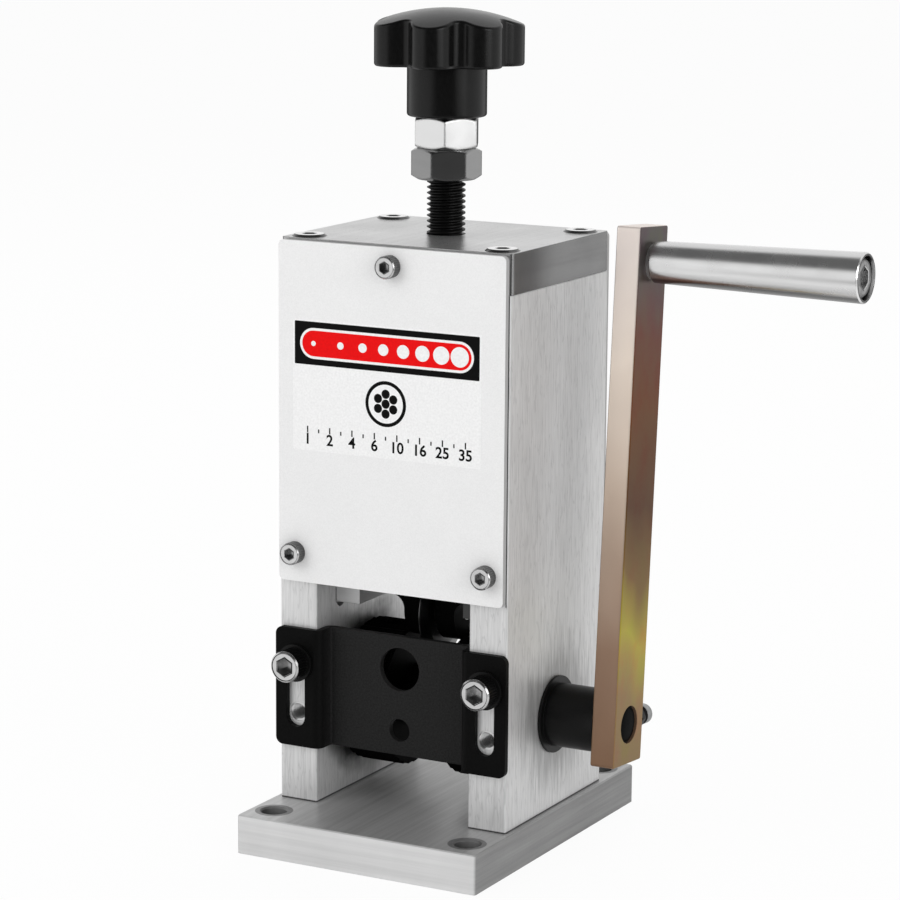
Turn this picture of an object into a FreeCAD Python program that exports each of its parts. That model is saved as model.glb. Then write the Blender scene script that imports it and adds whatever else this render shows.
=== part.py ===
"""Hand crank wire stripper, in millimetres.

Two side plates stand on a base plate and carry a top plate, a front cover and a
rear cover.  A crank turns a toothed feed roller between the side plates.  A round
blade hangs in a fork under a carriage that slides in grooves of the side plates,
and a screw with a star knob lifts or lowers it.  The wire enters through a bent
guide plate that is adjustable in height.

Frame: X to the crank side, Y to the rear, Z up.  The origin is the middle of the
four mounting holes, on the underside of the base plate.
"""
import FreeCAD, Part
import math
import os

Vector = FreeCAD.Vector
X_AXIS = Vector(1, 0, 0)
Y_AXIS = Vector(0, 1, 0)
Z_AXIS = Vector(0, 0, 1)

# ---------------------------------------------------------------- clearances
FACE_GAP = 0.3            # between flat faces that pass each other
SLIDE_GAP = 0.2           # between a sliding block and its guide, each side
RUNNING_GAP = 0.05        # radial, shaft in a bush or a pin in its bore
THREAD_GAP = 0.1          # radial, screw in its threaded hole
BOLT_HOLE_GAP = 0.25      # radial, screw in a plain hole
SEAT_GAP = 0.02           # radial, pressed or keyed together
CUT_OVER = 1.0            # how far a cutting tool runs past the face it cuts
COINCIDENT = 0.001        # places closer than this count as the same

# ---------------------------------------------------------------- body plates
BASE_SIDE_OVERHANG = 2.0
BASE_THICKNESS = 12.5
BASE_FRONT_OVERHANG = 23.3
BASE_REAR_OVERHANG = 21.3
BASE_CORNER_RADIUS = 0.8
BASE_EDGE_CHAMFER = 0.4
MOUNT_HOLE_DIAMETER = 8.0
MOUNT_HOLE_SIDE_INSET = 7.75
MOUNT_HOLE_END_INSET = 9.4
MOUNT_HOLE_CHAMFER = 0.5

OPENING_WIDTH = 54.0
SIDE_THICKNESS = 13.0
BODY_DEPTH = 66.5
SIDE_HEIGHT = 166.5
SIDE_EDGE_CHAMFER = 0.35
TOP_THICKNESS = 12.5
TOP_SETBACK = 0.8
TOP_CORNER_RADIUS = 1.2

# ---------------------------------------------------------------- covers
COVER_SIDE_INSET = 0.65
COVER_HEIGHT = 107.0
COVER_THICKNESS = 2.0
COVER_TOP_DROP = 0.5
COVER_CORNER_RADIUS = 1.6
COVER_SCREW_TOP_DROP = 5.7
COVER_SCREW_BOTTOM_RISE = 9.2

# ---------------------------------------------------------------- screws
M4_DIAMETER = 4.0
M4_HEAD_DIAMETER = 7.0
M4_HEAD_HEIGHT = 4.0
M4_SOCKET = 3.0
M4_SOCKET_DEPTH = 2.2
M6_DIAMETER = 6.0
M6_HEAD_DIAMETER = 10.0
M6_HEAD_HEIGHT = 6.0
M6_SOCKET = 5.0
M6_SOCKET_DEPTH = 3.4
HEAD_RIM_CHAMFER = 0.4
COUNTERSUNK_HEAD_DIAMETER = 11.3
COUNTERSUNK_RISE = 0.7
COUNTERSUNK_SOCKET = 4.0
COUNTERSUNK_SOCKET_DEPTH = 2.4
COVER_SCREW_LENGTH = 12.0
TOP_SCREW_LENGTH = 28.0
TOP_SCREW_END_INSET = 6.8
BASE_SCREW_LENGTH = 24.0
BASE_SCREW_END_INSET = 14.0
BASE_SCREW_SINK = 0.4

# ---------------------------------------------------------------- guide plate
GUIDE_SIDE_OVERHANG = 0.7
GUIDE_HEIGHT = 38.2
GUIDE_THICKNESS = 2.0
GUIDE_RECESS = 7.0
GUIDE_OUTER_BEND = 2.6
GUIDE_CORNER_RADIUS = 2.4
GUIDE_LARGE_HOLE = 13.8
GUIDE_LARGE_HOLE_RISE = 27.6
GUIDE_SMALL_HOLE = 7.2
GUIDE_SMALL_HOLE_RISE = 8.0
GUIDE_SLOT_WIDTH = 6.6
GUIDE_SLOT_LENGTH = 25.6
GUIDE_SCREW_HEIGHT = 57.7
GUIDE_SCREW_RISE = 27.1
GUIDE_SPARE_HOLE_DROP = 16.3
GUIDE_SCREW_LENGTH = 16.0
GUIDE_WASHER_DIAMETER = 12.0
GUIDE_WASHER_THICKNESS = 1.0

# ---------------------------------------------------------------- feed roller
AXLE_RISE = 30.3
ROLLER_DIAMETER = 46.0
ROLLER_TEETH = 40
ROLLER_TOOTH_DEPTH = 1.0
ROLLER_RIM_CHAMFER = 0.8
ROLLER_GAP_WIDTH = 19.0
CORE_DIAMETER = 20.0
CORE_TEETH = 18
CORE_TOOTH_DEPTH = 0.7
JOURNAL_DIAMETER = 16.0
BUSH_OUTER_DIAMETER = 20.0
BUSH_FLANGE_DIAMETER = 27.0
BUSH_FLANGE_THICKNESS = 0.7
COLLAR_DIAMETER = 24.4
COLLAR_THICKNESS = 0.8
HUB_DIAMETER = 20.0
SHAFT_LEFT_END = 3.0
CIRCLIP_THICKNESS = 1.0
CIRCLIP_DIAMETER = 20.0
CIRCLIP_GROOVE_DEPTH = 0.6
CIRCLIP_MOUTH = 7.4
GRUB_DIAMETER = 5.0
GRUB_SOCKET = 2.5
GRUB_SOCKET_DEPTH = 2.5
GRUB_SINK = 1.5

# ---------------------------------------------------------------- crank
ARM_STANDOFF = 17.7
ARM_THICKNESS = 8.0
ARM_WIDTH = 20.0
ARM_TOP_REACH = 154.5
ARM_BOTTOM_REACH = 12.5
ARM_LEAN_DEGREES = 4.4
ARM_EDGE_RADIUS = 0.5
ARM_END_RADIUS = 0.8
SPIGOT_DIAMETER = 11.8
SPIGOT_RECESS = 0.9
CLAMP_BOLT_DIAMETER = 4.0
CLAMP_BOLT_HEAD_DIAMETER = 6.4
CLAMP_BOLT_HEAD_HEIGHT = 3.6
CLAMP_BOLT_STANDOFF = 5.8
CLAMP_NUT_WIDTH = 7.0
CLAMP_NUT_THICKNESS = 3.2
HANDLE_REACH = 143.7
HANDLE_LENGTH = 68.0
HANDLE_INNER_DIAMETER = 12.9
HANDLE_OUTER_DIAMETER = 15.4
HANDLE_BOLT_DIAMETER = 8.0
HANDLE_HEAD_DIAMETER = 11.8
HANDLE_HEAD_HEIGHT = 7.0
HANDLE_HEAD_SINK = 0.5
HANDLE_RIM_WALL = 1.0
HANDLE_SOCKET = 6.0
HANDLE_SOCKET_DEPTH = 4.0
HANDLE_WASHER_DIAMETER = 11.0
HANDLE_WASHER_THICKNESS = 1.0

# ---------------------------------------------------------------- screw, knob
SCREW_DIAMETER = 12.0
SCREW_NECK_DIAMETER = 8.0
SCREW_FOOT_THICKNESS = 4.0
SCREW_STICKOUT = 17.1
NUT_WIDTH = 19.0
NUT_HEIGHT = 9.7
NUT_FACE_STEP = 0.5
NUT_CORNER_ANGLE = 30.0
UPPER_NUT_TURN_DEGREES = -5.0
LOWER_NUT_TURN_DEGREES = 32.0
KNOB_HUB_DIAMETER = 24.8
KNOB_HUB_HEIGHT = 15.7
KNOB_DIAMETER = 47.6
KNOB_LOBES = 7
KNOB_LOBE_RADIUS = 6.7
KNOB_VALLEY_DIAMETER = 37.4
KNOB_RIM_HEIGHT = 12.5
KNOB_DOME_HEIGHT = 4.95
KNOB_EDGE_RADIUS = 1.0
KNOB_SCREW_DEPTH = 16.0
KNOB_TURN_DEGREES = 26.0

# ---------------------------------------------------------------- carriage
EAR_RISE = 62.9
EAR_FRONT_INSET = 12.0
EAR_WIDTH = 8.4
CARRIAGE_TOP_RISE = 112.0
CARRIAGE_ARCH_RISE = 87.0
CARRIAGE_EDGE_RADIUS = 1.0
GROOVE_WIDTH = 6.0
GROOVE_DEPTH = 3.0
GROOVE_BELOW_TONGUE = 6.2
TONGUE_RISE_OVER_EAR = 4.0
GROOVE_ABOVE_CARRIAGE = 26.0
KEEPER_THICKNESS = 3.0
KEEPER_WIDTH = 34.0
KEEPER_DEPTH = 13.0
KEEPER_SCREW_SPACING = 24.0
KEEPER_SCREW_LENGTH = 10.0
FORK_SIDE_GAP = 0.6
FORK_ARM_RADIUS = 9.5
FORK_SLOT_WIDTH = 4.4
FORK_SHOULDER_RISE = 4.7
FORK_SHOULDER_FILLET = 4.5
FORK_BRIDGE_DEPTH = 34.0
FORK_BRIDGE_THICKNESS = 9.0
FORK_BOLT_SPACING = 25.0
FORK_BOLT_DIAMETER = 5.0
FORK_BOLT_HEAD_DIAMETER = 8.5
FORK_BOLT_HEAD_HEIGHT = 5.0
FORK_BOLT_SOCKET = 4.0
FORK_BOLT_SOCKET_DEPTH = 2.5
BLADE_DIAMETER = 32.0
BLADE_THICKNESS = 2.4
BLADE_BEVEL_DIAMETER = 24.0
BLADE_EDGE_THICKNESS = 0.3
BLADE_OVER_CORE = 3.5
BLADE_PIN_DIAMETER = 6.0
BLADE_WASHER_DIAMETER = 11.0

# ---------------------------------------------------------------- derived places
BODY_WIDTH = OPENING_WIDTH + 2 * SIDE_THICKNESS
BASE_WIDTH = BODY_WIDTH + 2 * BASE_SIDE_OVERHANG
COVER_WIDTH = BODY_WIDTH - 2 * COVER_SIDE_INSET
GUIDE_WIDTH = BODY_WIDTH + 2 * GUIDE_SIDE_OVERHANG
GUIDE_BOTTOM = GUIDE_SCREW_HEIGHT - GUIDE_SCREW_RISE
HALF_OPENING = OPENING_WIDTH / 2
HALF_BODY = BODY_WIDTH / 2
BASE_LENGTH = BASE_FRONT_OVERHANG + BODY_DEPTH + BASE_REAR_OVERHANG
BODY_FRONT = -BASE_LENGTH / 2 + BASE_FRONT_OVERHANG
BODY_REAR = BODY_FRONT + BODY_DEPTH
BODY_MIDDLE = (BODY_FRONT + BODY_REAR) / 2
SIDE_TOP = BASE_THICKNESS + SIDE_HEIGHT
BODY_TOP = SIDE_TOP + TOP_THICKNESS
SIDE_CENTRE_X = HALF_OPENING + SIDE_THICKNESS / 2
COVER_TOP = BODY_TOP - COVER_TOP_DROP
COVER_BOTTOM = COVER_TOP - COVER_HEIGHT
COVER_TOP_SCREW_Z = COVER_TOP - COVER_SCREW_TOP_DROP
COVER_BOTTOM_SCREW_Z = COVER_BOTTOM + COVER_SCREW_BOTTOM_RISE
AXLE_Z = BASE_THICKNESS + AXLE_RISE
DISC_INNER_X = ROLLER_GAP_WIDTH / 2
DISC_OUTER_X = HALF_OPENING - BUSH_FLANGE_THICKNESS - FACE_GAP
COLLAR_INNER_X = HALF_BODY + SLIDE_GAP
ARM_INNER_X = HALF_BODY + ARM_STANDOFF
ARM_OUTER_X = ARM_INNER_X + ARM_THICKNESS
HANDLE_START_X = ARM_OUTER_X + HANDLE_WASHER_THICKNESS + SLIDE_GAP
HANDLE_END_X = HANDLE_START_X + HANDLE_LENGTH
EAR_BOTTOM = BASE_THICKNESS + EAR_RISE
CARRIAGE_TOP = BASE_THICKNESS + CARRIAGE_TOP_RISE
CARRIAGE_ARCH = BASE_THICKNESS + CARRIAGE_ARCH_RISE
CARRIAGE_FRONT = BODY_FRONT + EAR_FRONT_INSET
CARRIAGE_REAR = BODY_REAR - EAR_FRONT_INSET
CARRIAGE_HALF_WIDTH = HALF_OPENING - SLIDE_GAP
BLADE_AXIS_Z = AXLE_Z + CORE_DIAMETER / 2 + BLADE_OVER_CORE + BLADE_DIAMETER / 2
FORK_HALF_WIDTH = DISC_INNER_X - FORK_SIDE_GAP
SCREW_FOOT_Z = CARRIAGE_TOP - SCREW_FOOT_THICKNESS - FACE_GAP
LOWER_NUT_Z = BODY_TOP + SCREW_STICKOUT
UPPER_NUT_Z = LOWER_NUT_Z + NUT_HEIGHT
KNOB_Z = UPPER_NUT_Z + NUT_HEIGHT
GUIDE_FACE_Y = BODY_FRONT - GUIDE_THICKNESS
GUIDE_PANEL_Y = GUIDE_FACE_Y + GUIDE_RECESS
SIDES = (-1, 1)


# ---------------------------------------------------------------- basic solids
def box(x_range, y_range, z_range):
    """Box between two values on each axis."""
    low = Vector(x_range[0], y_range[0], z_range[0])
    return Part.makeBox(x_range[1] - low.x, y_range[1] - low.y, z_range[1] - low.z, low)


def rod(radius, start, end):
    """Round bar from one point to another."""
    return Part.makeCylinder(radius, (end - start).Length, start, end - start)


def rod_x(radius, x_range, y, z):
    """Round bar along X."""
    return rod(radius, Vector(x_range[0], y, z), Vector(x_range[1], y, z))


def rod_y(radius, x, y_range, z):
    """Round bar along Y."""
    return rod(radius, Vector(x, y_range[0], z), Vector(x, y_range[1], z))


def rod_z(radius, x, y, z_range):
    """Round bar along Z."""
    return rod(radius, Vector(x, y, z_range[0]), Vector(x, y, z_range[1]))


def turned(profile, axis=Z_AXIS):
    """Solid turned about an axis from (radius, height) points."""
    points = [Vector(radius, 0, height) for radius, height in profile]
    face = Part.Face(Part.makePolygon(points + points[:1]))
    solid = face.revolve(Vector(), Z_AXIS, 360)
    return aimed(solid, axis)


def aimed(solid, direction, place=Vector()):
    """The solid with its own Z axis turned to a direction, moved to a place."""
    return placed(solid, FreeCAD.Rotation(Z_AXIS, direction), place)


def placed(solid, turn, place):
    """A moved copy of a solid."""
    copy = solid.copy()
    copy.Placement = FreeCAD.Placement(place, turn).multiply(copy.Placement)
    return copy


def edges_along(solid, axis, test=lambda point: True):
    """Straight edges parallel to an axis whose middle passes a test."""
    found = []
    for edge in solid.Edges:
        if not isinstance(edge.Curve, Part.Line):
            continue
        run = edge.Vertexes[-1].Point - edge.Vertexes[0].Point
        if abs(abs(run.normalize() * axis) - 1) < COINCIDENT and test(edge.CenterOfMass):
            found.append(edge)
    return found


def hexagon(width, height):
    """Six-sided prism across its flats, standing on Z = 0."""
    radius = width / math.sqrt(3)
    corners = [Vector(radius * math.cos(k * math.pi / 3), radius * math.sin(k * math.pi / 3), 0)
               for k in range(6)]
    return Part.Face(Part.makePolygon(corners + corners[:1])).extrude(Vector(0, 0, height))


# ---------------------------------------------------------------- fasteners
def socket_screw(diameter, length, head_diameter, head_height, socket, socket_depth):
    """Cylinder head screw along Z: the head stands on Z = 0, the shank hangs below."""
    radius = head_diameter / 2
    rim = HEAD_RIM_CHAMFER
    head = turned([(0, 0), (radius, 0), (radius, head_height - rim),
                   (radius - rim, head_height), (0, head_height)])
    recess = hexagon(socket, socket_depth).translated(Vector(0, 0, head_height - socket_depth))
    shank = rod_z(diameter / 2, 0, 0, (-length, 0))
    return head.cut(recess).fuse(shank).removeSplitter()


def countersunk_screw(diameter, length, head_diameter, socket, socket_depth):
    """Flat head screw along Z: the head's top face is on Z = 0."""
    head_depth = (head_diameter - diameter) / 2
    rim = HEAD_RIM_CHAMFER
    body = turned([(0, 0), (head_diameter / 2, 0), (head_diameter / 2, -rim),
                   (diameter / 2, -rim - head_depth), (diameter / 2, -length), (0, -length)])
    return body.cut(hexagon(socket, socket_depth).translated(Vector(0, 0, -socket_depth)))


def countersink(diameter, head_diameter, depth, place, direction):
    """Tool that cuts the seat and the plain hole of a flat head screw."""
    head_depth = (head_diameter - diameter) / 2
    tool = turned([(0, CUT_OVER), (head_diameter / 2 + THREAD_GAP, CUT_OVER),
                   (head_diameter / 2 + THREAD_GAP, -HEAD_RIM_CHAMFER),
                   (diameter / 2 + THREAD_GAP, -HEAD_RIM_CHAMFER - head_depth),
                   (diameter / 2 + THREAD_GAP, -depth), (0, -depth)])
    return aimed(tool, direction, place)


def hex_nut(width, height, bore):
    """Nut on Z = 0 with its corners turned off at both ends."""
    corner = width / math.sqrt(3)
    face = width / 2 - NUT_FACE_STEP
    drop = (corner - face) * math.tan(math.radians(NUT_CORNER_ANGLE))
    envelope = turned([(0, 0), (face, 0), (corner, drop), (corner, height - drop),
                       (face, height), (0, height)])
    hole = rod_z(bore / 2, 0, 0, (-CUT_OVER, height + CUT_OVER))
    return hexagon(width, height).common(envelope).cut(hole)


def m4_screw(length):
    """Small socket screw."""
    return socket_screw(M4_DIAMETER, length, M4_HEAD_DIAMETER, M4_HEAD_HEIGHT,
                        M4_SOCKET, M4_SOCKET_DEPTH)


def m6_screw(length):
    """Large socket screw."""
    return socket_screw(M6_DIAMETER, length, M6_HEAD_DIAMETER, M6_HEAD_HEIGHT,
                        M6_SOCKET, M6_SOCKET_DEPTH)


# ---------------------------------------------------------------- body plates
def mount_points():
    """Centres of the four holes that bolt the base down."""
    half_x = BASE_WIDTH / 2 - MOUNT_HOLE_SIDE_INSET
    half_y = BASE_LENGTH / 2 - MOUNT_HOLE_END_INSET
    return [Vector(sx * half_x, sy * half_y, 0) for sx in SIDES for sy in SIDES]


def base_screw_points():
    """Centres of the screws that hold the side plates from below."""
    return [Vector(side * SIDE_CENTRE_X, y, BASE_SCREW_SINK) for side in SIDES
            for y in (BODY_FRONT + BASE_SCREW_END_INSET, BODY_REAR - BASE_SCREW_END_INSET)]


def top_screw_points():
    """Centres of the flat heads on the top plate."""
    return [Vector(side * SIDE_CENTRE_X, y, BODY_TOP + COUNTERSUNK_RISE) for side in SIDES
            for y in (BODY_FRONT + TOP_SCREW_END_INSET, BODY_REAR - TOP_SCREW_END_INSET)]


def cover_screw_points(face_y):
    """Centres of a cover's three screws on its outer face."""
    return [Vector(0, face_y, COVER_TOP_SCREW_Z),
            Vector(-SIDE_CENTRE_X, face_y, COVER_BOTTOM_SCREW_Z),
            Vector(SIDE_CENTRE_X, face_y, COVER_BOTTOM_SCREW_Z)]


def guide_screw_points(height):
    """Centres of the guide plate's two screw holes on the body's front face."""
    return [Vector(side * SIDE_CENTRE_X, BODY_FRONT, height) for side in SIDES]


def base_plate():
    """Base with four chamfered mounting holes and four countersunk screw holes."""
    half_x = BASE_WIDTH / 2
    half_y = BASE_LENGTH / 2
    plate = box((-half_x, half_x), (-half_y, half_y), (0, BASE_THICKNESS))
    plate = plate.makeFillet(BASE_CORNER_RADIUS, edges_along(plate, Z_AXIS))
    rims = [edge for edge in plate.Edges if abs(edge.CenterOfMass.z - BASE_THICKNESS) < COINCIDENT]
    plate = plate.makeChamfer(BASE_EDGE_CHAMFER, rims)
    radius = MOUNT_HOLE_DIAMETER / 2
    lip = radius + MOUNT_HOLE_CHAMFER
    hole = turned([(0, -CUT_OVER), (radius, -CUT_OVER), (radius, BASE_THICKNESS - MOUNT_HOLE_CHAMFER),
                   (lip, BASE_THICKNESS), (lip, BASE_THICKNESS + CUT_OVER), (0, BASE_THICKNESS + CUT_OVER)])
    for point in mount_points():
        plate = plate.cut(hole.translated(point))
    for point in base_screw_points():
        plate = plate.cut(countersink(M6_DIAMETER, COUNTERSUNK_HEAD_DIAMETER,
                                      BASE_THICKNESS + CUT_OVER, point, -Z_AXIS))
    return plate


def groove_spans():
    """Front and rear edges of the two guide grooves of a side plate."""
    return [(CARRIAGE_FRONT, CARRIAGE_FRONT + GROOVE_WIDTH),
            (CARRIAGE_REAR - GROOVE_WIDTH, CARRIAGE_REAR)]


def side_plate(side):
    """Side plate with guide grooves, bush bore and threaded holes."""
    inner = side * HALF_OPENING
    outer = side * HALF_BODY
    plate = box(sorted((inner, outer)), (BODY_FRONT, BODY_REAR), (BASE_THICKNESS, SIDE_TOP))
    upright = edges_along(plate, Z_AXIS, lambda point: abs(point.x - inner) < COINCIDENT)
    outer_rims = [edge for edge in plate.Edges
                  if abs(edge.CenterOfMass.x - outer) < COINCIDENT and edge.CenterOfMass.z > BASE_THICKNESS]
    plate = plate.makeChamfer(SIDE_EDGE_CHAMFER, upright + outer_rims)
    radius = GROOVE_WIDTH / 2
    floor_x = inner + side * GROOVE_DEPTH
    low = EAR_BOTTOM + TONGUE_RISE_OVER_EAR - GROOVE_BELOW_TONGUE + radius
    high = CARRIAGE_TOP + GROOVE_ABOVE_CARRIAGE
    reach = sorted((inner - side * CUT_OVER, floor_x))
    for front, rear in groove_spans():
        plate = plate.cut(box(reach, (front, rear), (low, high)))
        plate = plate.cut(rod_x(radius, reach, (front + rear) / 2, low))
        plate = plate.cut(rod_x(radius, reach, (front + rear) / 2, high))
    bore = BUSH_OUTER_DIAMETER / 2 + SEAT_GAP
    through = (min(inner, outer) - CUT_OVER, max(inner, outer) + CUT_OVER)
    plate = plate.cut(rod_x(bore, through, BODY_MIDDLE, AXLE_Z))
    return plate.cut(Part.makeCompound(side_plate_screw_holes(side)))


def side_plate_screw_holes(side):
    """Threaded holes of a side plate: guide and cover screws, top and base screws."""
    small = M4_DIAMETER / 2 + THREAD_GAP
    large = M6_DIAMETER / 2 + THREAD_GAP
    x = side * SIDE_CENTRE_X
    holes = [rod_y(small, x, (BODY_FRONT - CUT_OVER, BODY_FRONT + COVER_SCREW_LENGTH), COVER_BOTTOM_SCREW_Z),
             rod_y(small, x, (BODY_REAR - COVER_SCREW_LENGTH, BODY_REAR + CUT_OVER), COVER_BOTTOM_SCREW_Z)]
    for height in (GUIDE_SCREW_HEIGHT, GUIDE_SCREW_HEIGHT - GUIDE_SPARE_HOLE_DROP):
        holes.append(rod_y(large, x, (BODY_FRONT - CUT_OVER, BODY_FRONT + GUIDE_SCREW_LENGTH), height))
    for point in top_screw_points():
        if point.x * side > 0:
            holes.append(rod_z(large, x, point.y, (BODY_TOP - TOP_SCREW_LENGTH, SIDE_TOP + CUT_OVER)))
    for point in base_screw_points():
        if point.x * side > 0:
            holes.append(rod_z(large, x, point.y, (BASE_THICKNESS - CUT_OVER, BASE_SCREW_LENGTH + CUT_OVER)))
    return holes


def top_plate():
    """Top plate, set back a little, threaded for the adjusting screw."""
    front = BODY_FRONT + TOP_SETBACK
    plate = box((-HALF_BODY, HALF_BODY), (front, BODY_REAR), (SIDE_TOP, BODY_TOP))
    plate = plate.makeFillet(TOP_CORNER_RADIUS, edges_along(plate, Z_AXIS))
    radius = SCREW_DIAMETER / 2 + THREAD_GAP
    plate = plate.cut(rod_z(radius, 0, BODY_MIDDLE, (SIDE_TOP - CUT_OVER, BODY_TOP + CUT_OVER)))
    for point in top_screw_points():
        plate = plate.cut(countersink(M6_DIAMETER, COUNTERSUNK_HEAD_DIAMETER,
                                      TOP_THICKNESS + COUNTERSUNK_RISE + CUT_OVER, point, Z_AXIS))
    hole = M4_DIAMETER / 2 + THREAD_GAP
    depth = COVER_SCREW_LENGTH
    plate = plate.cut(rod_y(hole, 0, (front - CUT_OVER, BODY_FRONT + depth), COVER_TOP_SCREW_Z))
    return plate.cut(rod_y(hole, 0, (BODY_REAR - depth, BODY_REAR + CUT_OVER), COVER_TOP_SCREW_Z))


def cover(inner_y, outer_y):
    """Thin cover plate with rounded corners and three screw holes."""
    plate = box((-COVER_WIDTH / 2, COVER_WIDTH / 2), sorted((inner_y, outer_y)), (COVER_BOTTOM, COVER_TOP))
    plate = plate.makeFillet(COVER_CORNER_RADIUS, edges_along(plate, Y_AXIS))
    for point in cover_screw_points(inner_y):
        plate = plate.cut(rod_y(M4_DIAMETER / 2 + BOLT_HOLE_GAP, point.x,
                                (BODY_FRONT - BODY_DEPTH, BODY_REAR + BODY_DEPTH), point.z))
    return plate


def body_nodes():
    """Plates, covers and the screws that hold them."""
    front_face = BODY_FRONT - COVER_THICKNESS
    rear_face = BODY_REAR + COVER_THICKNESS
    cover_screw = m4_screw(COVER_SCREW_LENGTH)
    top_screw = countersunk_screw(M6_DIAMETER, TOP_SCREW_LENGTH, COUNTERSUNK_HEAD_DIAMETER,
                                  COUNTERSUNK_SOCKET, COUNTERSUNK_SOCKET_DEPTH)
    base_screw = countersunk_screw(M6_DIAMETER, BASE_SCREW_LENGTH, COUNTERSUNK_HEAD_DIAMETER,
                                   COUNTERSUNK_SOCKET, COUNTERSUNK_SOCKET_DEPTH)
    return {
        "base_plate": base_plate(),
        "left_side_plate": side_plate(-1),
        "right_side_plate": side_plate(1),
        "top_plate": top_plate(),
        "front_cover": cover(BODY_FRONT, front_face),
        "rear_cover": cover(BODY_REAR, rear_face),
        "front_cover_screws": Part.makeCompound(
            [aimed(cover_screw, -Y_AXIS, point) for point in cover_screw_points(front_face)]),
        "rear_cover_screws": Part.makeCompound(
            [aimed(cover_screw, Y_AXIS, point) for point in cover_screw_points(rear_face)]),
        "top_plate_screws": Part.makeCompound(
            [aimed(top_screw, Z_AXIS, point) for point in top_screw_points()]),
        "base_screws": Part.makeCompound(
            [aimed(base_screw, -Z_AXIS, point) for point in base_screw_points()]),
    }


# ---------------------------------------------------------------- guide plate
def guide_plate():
    """Bent plate: flanges on the legs, panel set back between them."""
    half = GUIDE_WIDTH / 2
    wall_outer = HALF_OPENING - FACE_GAP
    wall_inner = wall_outer - GUIDE_THICKNESS
    face = GUIDE_FACE_Y
    face_back = face + GUIDE_THICKNESS
    panel = GUIDE_PANEL_Y
    panel_back = panel + GUIDE_THICKNESS
    right = [(wall_inner, panel), (wall_inner, face), (half, face),
             (half, face_back), (wall_outer, face_back), (wall_outer, panel_back)]
    outline = right + [(-x, y) for x, y in reversed(right)]
    points = [Vector(x, y, GUIDE_BOTTOM) for x, y in outline]
    plate = Part.Face(Part.makePolygon(points + points[:1])).extrude(Vector(0, 0, GUIDE_HEIGHT))
    plate = bend_edges(plate, wall_inner, wall_outer)
    flange_corners = edges_along(plate, Y_AXIS, lambda point: abs(point.x) > half - COINCIDENT)
    plate = plate.makeFillet(GUIDE_CORNER_RADIUS, flange_corners)
    through = (face - CUT_OVER, panel_back + CUT_OVER)
    plate = plate.cut(rod_y(GUIDE_LARGE_HOLE / 2, 0, through, GUIDE_BOTTOM + GUIDE_LARGE_HOLE_RISE))
    plate = plate.cut(rod_y(GUIDE_SMALL_HOLE / 2, 0, through, GUIDE_BOTTOM + GUIDE_SMALL_HOLE_RISE))
    for side in SIDES:
        plate = plate.cut(guide_slot(side, through))
    return plate


def bend_edges(plate, wall_inner, wall_outer):
    """Round the four bends with one inner and one outer radius."""
    outer_radius = GUIDE_OUTER_BEND
    inner_radius = GUIDE_OUTER_BEND - GUIDE_THICKNESS
    face = GUIDE_FACE_Y
    panel = GUIDE_PANEL_Y
    outer = [(wall_inner, face), (wall_outer, panel + GUIDE_THICKNESS)]
    inner = [(wall_inner, panel), (wall_outer, face + GUIDE_THICKNESS)]
    for corners, radius in ((outer, outer_radius), (inner, inner_radius)):
        picked = edges_along(plate, Z_AXIS, lambda point: any(
            abs(abs(point.x) - x) < COINCIDENT and abs(point.y - y) < COINCIDENT for x, y in corners))
        plate = plate.makeFillet(radius, picked)
    return plate


def guide_slot(side, through):
    """Tool for the long slot in one flange."""
    radius = GUIDE_SLOT_WIDTH / 2
    x = side * SIDE_CENTRE_X
    middle = GUIDE_BOTTOM + GUIDE_HEIGHT / 2
    low = middle - GUIDE_SLOT_LENGTH / 2 + radius
    high = middle + GUIDE_SLOT_LENGTH / 2 - radius
    slot = box((x - radius, x + radius), through, (low, high))
    return slot.multiFuse([rod_y(radius, x, through, low), rod_y(radius, x, through, high)])


def guide_nodes():
    """Guide plate with its screws and washers."""
    screw = m6_screw(GUIDE_SCREW_LENGTH)
    washer = ring(GUIDE_WASHER_DIAMETER, M6_DIAMETER + 2 * BOLT_HOLE_GAP, GUIDE_WASHER_THICKNESS)
    washer_seat = Vector(0, -GUIDE_THICKNESS, 0)
    screw_seat = Vector(0, -GUIDE_THICKNESS - GUIDE_WASHER_THICKNESS, 0)
    points = guide_screw_points(GUIDE_SCREW_HEIGHT)
    return {
        "guide_plate": guide_plate(),
        "guide_washers": Part.makeCompound([aimed(washer, -Y_AXIS, point + washer_seat) for point in points]),
        "guide_screws": Part.makeCompound([aimed(screw, -Y_AXIS, point + screw_seat) for point in points]),
    }


def ring(outer_diameter, inner_diameter, thickness):
    """Flat ring on Z = 0."""
    return turned([(inner_diameter / 2, 0), (outer_diameter / 2, 0),
                   (outer_diameter / 2, thickness), (inner_diameter / 2, thickness)])


# ---------------------------------------------------------------- crank and roller
def toothed_disc(diameter, teeth, depth, chamfer, bore, x_range):
    """Disc about the axle with pointed teeth on its rim, chamfered at both faces."""
    outer = diameter / 2
    root = outer - depth
    count = 2 * teeth
    points = []
    for k in range(count):
        radius = outer if k % 2 == 0 else root
        angle = 2 * math.pi * k / count
        points.append(Vector(radius * math.cos(angle), radius * math.sin(angle), 0))
    length = x_range[1] - x_range[0]
    disc = Part.Face(Part.makePolygon(points + points[:1])).extrude(Vector(0, 0, length))
    blank = turned([(bore / 2, 0), (outer - chamfer, 0), (outer, chamfer), (outer, length - chamfer),
                    (outer - chamfer, length), (bore / 2, length)])
    return aimed(disc.common(blank), X_AXIS, Vector(x_range[0], BODY_MIDDLE, AXLE_Z))


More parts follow.
